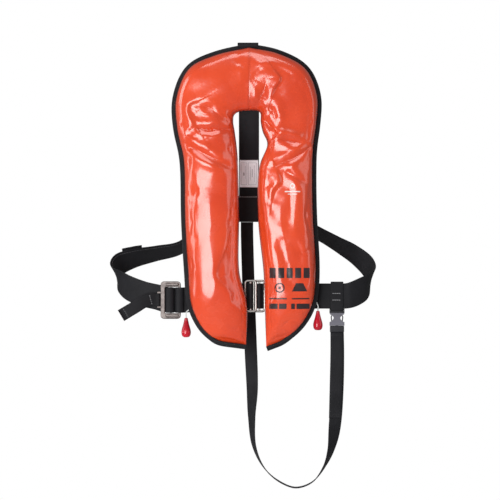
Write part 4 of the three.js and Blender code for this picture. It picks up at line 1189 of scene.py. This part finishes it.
def front_belt():
    """From the left ring, behind the left lobe, to the adjuster's fixed bar."""
    cx, cy = RING_BAR["left"]
    ring_end = (on_edge([(-0.0092, 0.02), (-0.005, 0.0176), (-0.0018, 0.0142)], BELT_LINE)
                + around(cx, cy, RING_WRAP, 170, 415, BELT_LINE, 8)
                + on_edge([(-0.0022, 0.0188), (-0.008, 0.0218)], BELT_LINE))
    stops = [*ring_end, (-0.0268, 0.022, -0.367, 0, 0, 1), (-0.07, 0.022, -0.37, 0, 0, 1),
             (-0.1172, 0.022, -0.373, 0, 0, 1), (-0.13, 0.022, FRAME_Z, 0, 0, 1)]
    stops += around(FIXED_BAR, FRAME_Y, ROLL, 80, 335, FRAME_Z, 9, FRAME_WRAP)
    stops += on_edge([(-0.1325, 0.0192)], FRAME_Z)
    layer = on_edge([(-0.129, 0.0241), (-0.148, 0.0243), (-0.164, 0.0243)], FRAME_Z)
    parts = [strap(stops, BELT, step=0.0022), strap(layer, BELT - 0.001, step=0.005)]
    webbing("front_belt_webbing", parts, BELT_WEB, ["belt_front_left"])


LEFT_ROUTE = [
    (-0.167, 0.022, -0.3725, 0, 0, 1),
    (-0.1782, 0.023, -0.369, 0, 0, 1),
    (-0.2122, 0.03, -0.361, -0.05, 0, 1),
    (-0.2452, 0.045, -0.346, -0.2, -0.05, 1),
    (-0.2652, 0.065, -0.324, -0.35, -0.15, 0.92),
    (-0.2602, 0.084, -0.305, -0.25, -0.45, 0.85),
    (-0.2302, 0.096, -0.292, -0.1, -0.65, 0.75),
    (-0.1862, 0.103, -0.282, 0, -0.78, 0.62),
    (-0.137, 0.106, -0.27, 0, -0.85, 0.55),
    (-0.08, 0.109, -0.224, 0, -0.6, 0.8),
    (-0.038, 0.11, -0.196, 0, 0, 1),
    (-0.021, 0.11, -0.1915, 0, 0, 1),
    (-0.0015, 0.11, -0.191, 0, 0, 1),
]
RIGHT_ROUTE = [
    (0.09, 0.022, -0.366, 0, 0, 1),
    (0.15, 0.022, -0.366, 0, 0, 1),
    (0.189, 0.022, -0.366, 0, 0, 1),
    (0.203, 0.023, -0.3635, 0.03, 0, 1),
    (0.229, 0.036, -0.35, 0.15, -0.05, 1),
    (0.243, 0.056, -0.333, 0.25, -0.15, 0.95),
    (0.239, 0.076, -0.311, 0.2, -0.4, 0.88),
    (0.212, 0.092, -0.285, 0.08, -0.6, 0.78),
    (0.178, 0.1, -0.264, 0, -0.75, 0.65),
    (0.139, 0.106, -0.242, 0, -0.83, 0.56),
    (0.084, 0.109, -0.216, 0, -0.6, 0.8),
    (0.038, 0.11, -0.195, 0, 0, 1),
    (0.021, 0.11, -0.1915, 0, 0, 1),
    (0.0015, 0.11, -0.191, 0, 0, 1),
]


def waist_belts():
    """Both rear runs of the waist belt, the doubled layer and the keeper on the left one."""
    middle = SLIDE_BAR - 0.0024
    stops = on_edge([(-0.1615, 0.0192)], FRAME_Z)
    stops += around(middle, FRAME_Y, ROLL, 205, 460, FRAME_Z, 9, FRAME_WRAP)
    stops += LEFT_ROUTE
    parts = [strap(stops, BELT, step=0.003)]
    # The doubled layer on the inner side of the belt's back part, a little lower.
    parts.append(strap(LEFT_ROUTE, BELT - 0.007, thick=0.0009, start=0.3, end=0.93, offset=0.00145,
                       step=0.004))
    webbing("waist_webbing_left", parts, BELT_WEB, ["waist_belt_left"])
    centre, _, wide, face = frames(LEFT_ROUTE, np.linspace(0.32, 0.9, 150))
    edge = centre + wide * (BELT / 2 - 0.0048) + face * 0.0021
    stitches("waist_webbing_seam", [edge], THREAD_GREY, "webbing", length=0.0045, gap=0.0008,
             radius=0.0004)
    cx, cy = RING_BAR["right"]
    stops = (on_edge([(0.032, 0.02), (0.0275, 0.0172)], BELT_LINE)
             + around(cx, cy, RING_WRAP, 10, -235, BELT_LINE, 8)
             + on_edge([(0.024, 0.0203), (0.03, 0.0218), (0.05, 0.022)], BELT_LINE) + RIGHT_ROUTE)
    webbing("waist_webbing_right", [strap(stops, BELT, step=0.003)], BELT_WEB, ["waist_belt_right"])
    # The keeper lies on the outer side and stands a little over the belt's upper edge.
    stands = 0.0042
    route = [(x + a * stands, y + b * stands, z + c * stands, a, b, c) for x, y, z, a, b, c in LEFT_ROUTE]
    keeper = strap(route, BELT + 0.002, thick=0.0012, start=0.455, end=0.535, offset=-0.0018, step=0.002)
    webbing("keeper_webbing", [keeper], BELT_WEB, ["belt_keeper"])


front_belt()
waist_belts()

STRAP_ROUTE = [
    (0.0, 0.0071, 0.1195, 1, 0, 0),
    (0.0, 0.0071, 0.06, 1, 0, 0),
    (0.0, 0.0091, 0.0, 1, 0, 0),
    (0.0, 0.0311, -0.06, 1, 0, 0),
    (0.0, 0.0611, -0.105, 1, 0, 0),
    (0.0, 0.0931, -0.145, 1, 0, 0),
    (0.0, 0.1073, -0.164, 1, 0, 0),
]


def loop_stops(y_front, y_back, top, bottom, x=0.0, corner=0.0016):
    """A closed loop of webbing in the Y-Z plane, round an edge-standing belt."""
    stops = []
    for cy, cz, start in ((y_back - corner, top - corner, 90), (y_back - corner, bottom + corner, 0),
                          (y_front + corner, bottom + corner, -90), (y_front + corner, top - corner, -180)):
        for a in np.radians(np.linspace(start, start - 90, 4)):
            stops.append((x, cy + corner * math.cos(a), cz + corner * math.sin(a), 1, 0, 0))
    return stops


def back_strap():
    """Back strap with its sewn belt loop, label and stitching."""
    front = BACK_Y - 0.0027
    back = BACK_Y + 0.0027
    half = BELT / 2 + 0.001 + WEBBING / 2
    loop = loop_stops(front, back, BACK_LOOP_Z + half, BACK_LOOP_Z - half)
    parts = [strap(STRAP_ROUTE, BACK_STRAP), strap([*loop, loop[0]], BACK_STRAP, step=0.002)]
    webbing("back_strap_webbing", parts, STRAP_WEB, ["back_strap"])
    patch = strap(STRAP_ROUTE, 0.037, thick=0.0006, start=0.63, end=0.86, offset=0.0014, step=0.002)
    webbing("label_patch", [patch], LABEL, ["id_label"], slot="label")
    stitches("back_strap_seam", [row_across(STRAP_ROUTE, 0.905, 0.0175, 30, 0.0013)], THREAD_GREY,
             "webbing")
    seam = BACK_LOOP_Z + half - 0.004
    rows = [level_row(0.0, front - 0.0011, z, 0.0192, 30) for z in (seam, seam - 0.0009)]
    stitches("back_strap_stitches", rows, THREAD_PALE, "webbing", length=0.004, gap=0.0005,
             radius=0.0004)


back_strap()


def belt_loops():
    """Webbing loops on the back panel that carry the front belts."""
    for side, x, z in (("left", -0.062, (BELT_LINE + FRAME_Z) / 2 + 0.0005), ("right", 0.072, BELT_LINE)):
        low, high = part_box(f"belt_loop_{side}")
        half = (high.z - low.z) / 2 - 0.0045
        foot = low.y + 0.0009
        top = high.y - 0.0009
        upper = [(foot, half + 0.0045), (foot, half + 0.001), (foot + 0.003, half - 0.0005),
                 (top - 0.004, half - 0.0005), (top - 0.0008, half - 0.0018), (top, half - 0.006)]
        lower = [(y, -dz) for y, dz in upper[::-1]]
        stops = [(x, y, z + dz, 1, 0, 0) for y, dz in (*upper, (top, 0.0), *lower)]
        loop = strap(stops, 0.036, thick=0.0014, step=0.002)
        webbing(f"loop_webbing_{side}", [loop], STRAP_WEB, [f"belt_loop_{side}"])
        rows = [level_row(x, foot + 0.001, z + end * (half + 0.0028), 0.016, 24) for end in (1, -1)]
        stitches(f"loop_stitches_{side}", rows, THREAD_DARK, "webbing")


belt_loops()


def hanger():
    """Webbing loop that hangs the crotch strap's buckle on the belt."""
    low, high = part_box("crotch_hanger")
    loop = loop_stops(low.y + 0.00075, high.y - 0.00075, high.z - 0.00075, low.z + 0.00075, SNAP_X, 0.0009)
    ring = strap([*loop, loop[0]], CROTCH_STRAP, thick=0.0015, step=0.0015)
    webbing("hanger_webbing", [ring], CROTCH_WEB, ["crotch_hanger"])
    rows = [level_row(SNAP_X, low.y - 0.0003, z, 0.009, 16) for z in (-0.3605, -0.3613, -0.3735, -0.3743)]
    stitches("hanger_stitches", rows, THREAD_PALE, "webbing", length=0.0036, gap=0.0004,
             radius=0.0004)


hanger()

TAB_ROUTE = [
    (-0.1926, 0.0152, -0.3725, 0, 0, 1),
    (-0.2066, 0.0132, -0.3765, -0.12, 0.05, 1),
    (-0.2226, 0.0112, -0.3865, -0.35, 0.1, 0.9),
    (-0.2526, 0.0102, -0.4045, -0.45, 0.1, 0.88),
]


def pull_tab():
    """Tab of the adjuster: round the pin, stitched on itself, then hanging to the left."""
    radius = TAB_PIN_RADIUS + SLIP + WEBBING / 2
    stops = on_edge([(-0.188, 0.0186), (-0.183, 0.0193)], TAB_Z)
    stops += around(PIN_X, FRAME_Y, radius, 140, -125, TAB_Z, 8)
    stops += [(-0.1845, 0.0162, TAB_Z, 0, 0, 1), *TAB_ROUTE]
    tab = strap(stops, CROTCH_STRAP, step=0.0018)
    webbing("tab_webbing", [tab], CROTCH_WEB, ["adjuster_tab"], "pull_tab")
    rows = [row_across(TAB_ROUTE, share, half, 18, 0.0012)
            for share, half in ((0.03, 0.0095), (0.05, 0.0095), (0.9, 0.0105))]
    stitches("tab_stitches", rows, THREAD_PALE, "webbing", body="pull_tab")


pull_tab()


def strap_stitches():
    """Hem of the crotch strap's tail and the bar tack under the buckle."""
    rows = [row_across(TAIL_ROUTE, share, 0.0105, 20, 0.0011) for share in (0.955, 0.975, 0.05)]
    stitches("tail_stitches", rows, THREAD_DARK, "webbing")


strap_stitches()

# ---------------------------------------------------------------- steel rings


def steel_rings():
    """Two round-cornered frames of bar, each with a middle bar."""
    for side, body in (("left", "front_ring"), ("right", "rear_ring")):
        low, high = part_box(f"ring_{side}")
        cx, y, cz = (low.x + high.x) / 2, (low.y + high.y) / 2, (low.z + high.z) / 2
        outline = rounded(cx, cz, high.x - low.x - WIRE, high.z - low.z - WIRE, 0.005, 9)
        path = []
        for (x0, z0), (x1, z1) in zip(outline, outline[1:] + outline[:1]):
            steps = max(int(math.hypot(x1 - x0, z1 - z0) / 0.003), 1)
            path += [(x0 + (x1 - x0) * k / steps, y, z0 + (z1 - z0) * k / steps) for k in range(steps)]
        frame_part = tube(path, WIRE / 2, 20, closed=True)
        middle = [(cx, y, z) for z in np.linspace(low.z + WIRE / 2, high.z - WIRE / 2, 20)]
        points, faces, _ = join_parts([frame_part, tube(middle, WIRE / 2, 20)])
        make_piece(f"steel_ring_{side}", points, faces, STEEL, "steel", body=body,
                   replaced=[f"ring_{side}"])


steel_rings()

# ---------------------------------------------------------------- adjuster buckle


def adjuster():
    """Plate frame with raised rails, lugs for the tab's pin, and two round bars."""
    outer = rounded(FRAME_X, FRAME_Z, FRAME_WIDTH, FRAME_HEIGHT, 0.007, 8)
    window_left = FRAME_X - FRAME_WIDTH / 2 + 0.0085
    window_right = FIXED_BAR + 0.0005
    window = rounded((window_left + window_right) / 2, FRAME_Z, window_right - window_left, 0.0514, 0.002)
    parts = [plate([outer, window[::-1]], FRAME_THICK, FRAME_Y, 0.0012)]
    lip_x = FRAME_X + 0.003
    for end in (1, -1):
        z = FRAME_Z + end * (FRAME_HEIGHT / 2 - 0.0062)
        lip = slab(lip_x, z, 0.027, 0.0068, 0.003, 6, FRAME_THICK + 0.003, FRAME_Y, 0.0022)
        lug = slab(PIN_X + 0.002, TAB_Z + end * 0.0144, 0.0095, 0.0034, 0.0014, 5,
                   FRAME_THICK + 0.0006, FRAME_Y, 0.0006)
        parts += [lip, lug]
    parts.append(slab(lip_x, FRAME_Z - FRAME_HEIGHT / 2 + 0.002, 0.022, 0.0032, 0.0014, 5,
                      FRAME_THICK + 0.002, FRAME_Y, 0.0012))
    knob = arc(FRAME_X + 0.015, FRAME_Z - FRAME_HEIGHT / 2 + 0.005, 0.0022, 0, 345, 16)
    parts.append(plate([knob], FRAME_THICK + 0.004, FRAME_Y, 0.0014))
    bar_path = [(FIXED_BAR, FRAME_Y, z) for z in np.linspace(FRAME_Z - 0.0285, FRAME_Z + 0.0285, 16)]
    parts.append(tube(bar_path, BAR_RADIUS, 20))
    hard_piece("adjuster_plate", parts, BUCKLE, "buckle", replaced=["adjuster_frame"])
    for name, node, x, radius, steps, sides, material, slot in (
            ("adjuster_round_bar", "adjuster_bar", SLIDE_BAR, BAR_RADIUS, 16, 20, BUCKLE, "buckle"),
            ("tab_steel_pin", "tab_pin", PIN_X, TAB_PIN_RADIUS, 10, 16, STEEL, "steel")):
        low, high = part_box(node)
        path = [(x, FRAME_Y, z) for z in np.linspace(low.z, high.z, steps)]
        points, faces, _ = tube(path, radius, sides)
        make_piece(name, points, faces, material, slot, replaced=[node])


adjuster()

# ---------------------------------------------------------------- side-release buckle

SOCKET_TOP, SOCKET_BOTTOM = -0.3965, -0.4244
PLUG_TOP, PLUG_BOTTOM = -0.4247, -0.4375
WAIST_Z, HOLLOW_TOP = -0.4094, -0.403
SNAP_HALF = 0.0147


def mirrored(points):
    """A closed outline about the buckle's middle from its right half, top to bottom."""
    right = [(SNAP_X + x, z) for x, z in points]
    left = [(SNAP_X - x, z) for x, z in points[::-1]]
    return (right + left)[::-1]


def waist_curve(half_top, half_bottom, top, bottom, waist):
    """Right half of an hourglass."""
    stops = [(half_top, top), (half_top - 0.0004, top - 0.0045), (half_top - 0.003, WAIST_Z + 0.006),
             (waist + 0.0014, WAIST_Z + 0.0032), (waist, WAIST_Z), (waist + 0.0014, WAIST_Z - 0.0034),
             (half_bottom - 0.0032, WAIST_Z - 0.0064), (half_bottom - 0.0004, bottom + 0.0055),
             (half_bottom, bottom)]
    return [tuple(p) for p in catmull(stops, np.linspace(0, 1, 34))]


def snap_socket():
    """Two hourglass walls, a solid head and the two side walls."""
    front, back = BELT_Y - 0.004, BELT_Y + 0.004
    hourglass = mirrored(waist_curve(SNAP_HALF, SNAP_HALF, SOCKET_TOP, SOCKET_BOTTOM, 0.0065))
    wall = 0.0018
    parts = [plate([hourglass], wall, front + wall / 2, 0.0006),
             plate([hourglass], wall, back - wall / 2, 0.0006)]
    head = mirrored([(SNAP_HALF, SOCKET_TOP), (SNAP_HALF - 0.0003, SOCKET_TOP - 0.0045),
                     (SNAP_HALF - 0.0018, HOLLOW_TOP)])
    parts.append(plate([head], 0.0076, BELT_Y, 0.0006))
    for end in (1, -1):
        parts.append(slab(SNAP_X + end * (SNAP_HALF - 0.0009), (SOCKET_BOTTOM + WAIST_Z) / 2 - 0.004,
                          0.0018, 0.0075, 0.0006, 3, 0.0076, BELT_Y, 0.0003))
    hard_piece("snap_socket", parts, SNAP_LIGHT, "plastic", replaced=["buckle_socket"])


def snap_socket_band():
    """Dark top of the socket: two ears, the bar that carries the hanger and a band."""
    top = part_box("buckle_socket")[1].z
    parts = []
    for end in (1, -1):
        parts.append(slab(SNAP_X + end * (SNAP_HALF - 0.0009), (top + SOCKET_TOP) / 2, 0.002,
                          top - SOCKET_TOP + 0.001, 0.0008, 3, 0.0064, BELT_Y, 0.0005))
    top_bar = slab(SNAP_X, top - 0.0015, 2 * SNAP_HALF - 0.001, 0.003, 0.0008, 4, 0.002, BELT_Y, 0.0003)
    band = slab(SNAP_X, SOCKET_TOP - 0.0012, 2 * SNAP_HALF + 0.0004, 0.0036, 0.001, 4, 0.0086, BELT_Y,
                0.0007)
    parts += [top_bar, band]
    hard_piece("snap_socket_band", parts, SNAP_DARK, "plastic")


def snap_plug():
    """Block with a raised lip at its lower end and a tongue that enters the socket."""
    middle = (PLUG_TOP + PLUG_BOTTOM) / 2
    base = slab(SNAP_X, middle, 0.028, PLUG_TOP - PLUG_BOTTOM, 0.0016, 5, 0.007, BELT_Y, 0.0012)
    tongue = slab(SNAP_X, PLUG_TOP + 0.006, 0.005, 0.016, 0.001, 4, 0.0036, BELT_Y, 0.0005)
    lip = slab(SNAP_X, PLUG_BOTTOM + 0.0016, 0.0262, 0.0026, 0.0011, 5, 0.0082, BELT_Y, 0.001)
    hard_piece("snap_plug", [base, tongue, lip], SNAP_DARK, "plastic", replaced=["buckle_plug"])


def snap_prongs():
    """Two curved prongs, each on its own body."""
    half = 0.0011
    root = PLUG_TOP + 0.0003
    for side, end in (("left", -1), ("right", 1)):
        line = catmull([(0.0085, root), (0.01, root + 0.006), (0.011, WAIST_Z - 0.002),
                        (0.0112, WAIST_Z + 0.003), (0.0095, HOLLOW_TOP - 0.001)], np.linspace(0, 1, 18))
        outline = [(SNAP_X + end * (x + half), z) for x, z in line]
        outline += [(SNAP_X + end * (x - half), z) for x, z in line[::-1]]
        prong = plate([outline], 0.0036, BELT_Y, 0.0004)
        hard_piece(f"snap_prong_{side}", [prong], SNAP_DARK, "plastic", body=f"prong_{side}",
                   replaced=[f"buckle_prong_{side}"])


snap_socket()
snap_socket_band()
snap_plug()
snap_prongs()

# ---------------------------------------------------------------- pieces kept from the frame

KEPT = {
    "bladder_main": BLADDER, "bladder_backup": BLADDER, "closure_tape": PILE,
    "inflator_body": INFLATOR, "gas_cylinder": CYLINDER, "piercing_pin": BRASS,
    "inflator_lever": TOGGLE, "cord_grommet": INFLATOR, "oral_tube": INFLATOR, "oral_cap": TOGGLE,
    "whistle": WHISTLE, "light_case": INFLATOR, "light_lens": LENS, "lifting_loop": STRAP_WEB,
}
for node_name, node in NODES.items():
    for start, material in KEPT.items():
        if node_name.startswith(start):
            node.data.materials.clear()
            node.data.materials.append(material)

# ---------------------------------------------------------------- floor and light


FLOOR_DROP = 0.9  # the jacket hangs well over the floor
SURROUND_LIGHT = 0.2  # what the white surround gives to the jacket; the camera sees 1
LIGHT_AIM = Vector((0, 0, -0.2))
# name, place, width, height, watts
SOFT_BOXES = [
    ("key_box", (-1.42, -3.2, -0.5), 2.2, 2.3, 108),
    ("side_box", (3.0, -1.3, 0.3), 1.4, 2.6, 13),
    ("left_box", (-3.0, -0.2, 0.3), 0.8, 2.6, 24),
    ("top_box", (0.0, -1.4, 2.6), 2.0, 1.2, 26),
    ("rear_box", (0.6, 3.2, 1.2), 2.0, 2.0, 36),
]


def pale_floor():
    """A pale floor that does not mirror in the cover."""
    bpy.ops.mesh.primitive_circle_add(vertices=96, radius=2.0, fill_type="NGON",
                                      location=(0, 0, CAD_BOX[0].z - FLOOR_DROP))
    floor = bpy.context.object
    floor.name = "floor"
    floor.visible_glossy = False
    paint = Shader("floor_paint", (0.85, 0.85, 0.86), 0.85, Emission_Color=(1, 1, 1, 1),
                   Emission_Strength=0.42)
    paint.rough(paint.span(paint.noise(3, 2), 0.3, 0.7, 0.75, 0.95))
    floor.data.materials.append(paint.material)


def white_surround():
    """White for the camera, dim for everything else."""
    world = bpy.data.worlds.new("studio")
    world.use_nodes = True
    tree = world.node_tree
    back = tree.nodes["Background"]
    seen = tree.nodes.new("ShaderNodeLightPath").outputs["Is Camera Ray"]
    level = tree.nodes.new("ShaderNodeMapRange")
    level.inputs["To Min"].default_value = SURROUND_LIGHT
    level.inputs["To Max"].default_value = 1.0
    tree.links.new(seen, level.inputs["Value"])
    tree.links.new(level.outputs[0], back.inputs["Strength"])
    back.inputs["Color"].default_value = (1, 1, 1, 1)
    bpy.context.scene.world = world


def soft_boxes():
    """Area lights; the one behind the jacket is kept out of its reflections."""
    for name, spot, size_x, size_y, power in SOFT_BOXES:
        data = bpy.data.lights.new(name, "AREA")
        data.shape = "RECTANGLE"
        data.size, data.size_y = size_x, size_y
        data.energy = power
        light = bpy.data.objects.new(name, data)
        light.location = spot
        light.rotation_euler = (LIGHT_AIM - Vector(spot)).to_track_quat("-Z", "Y").to_euler()
        light.visible_glossy = name != "rear_box"
        bpy.context.collection.objects.link(light)


pale_floor()
white_surround()
soft_boxes()
bpy.context.scene.view_settings.view_transform = "Standard"
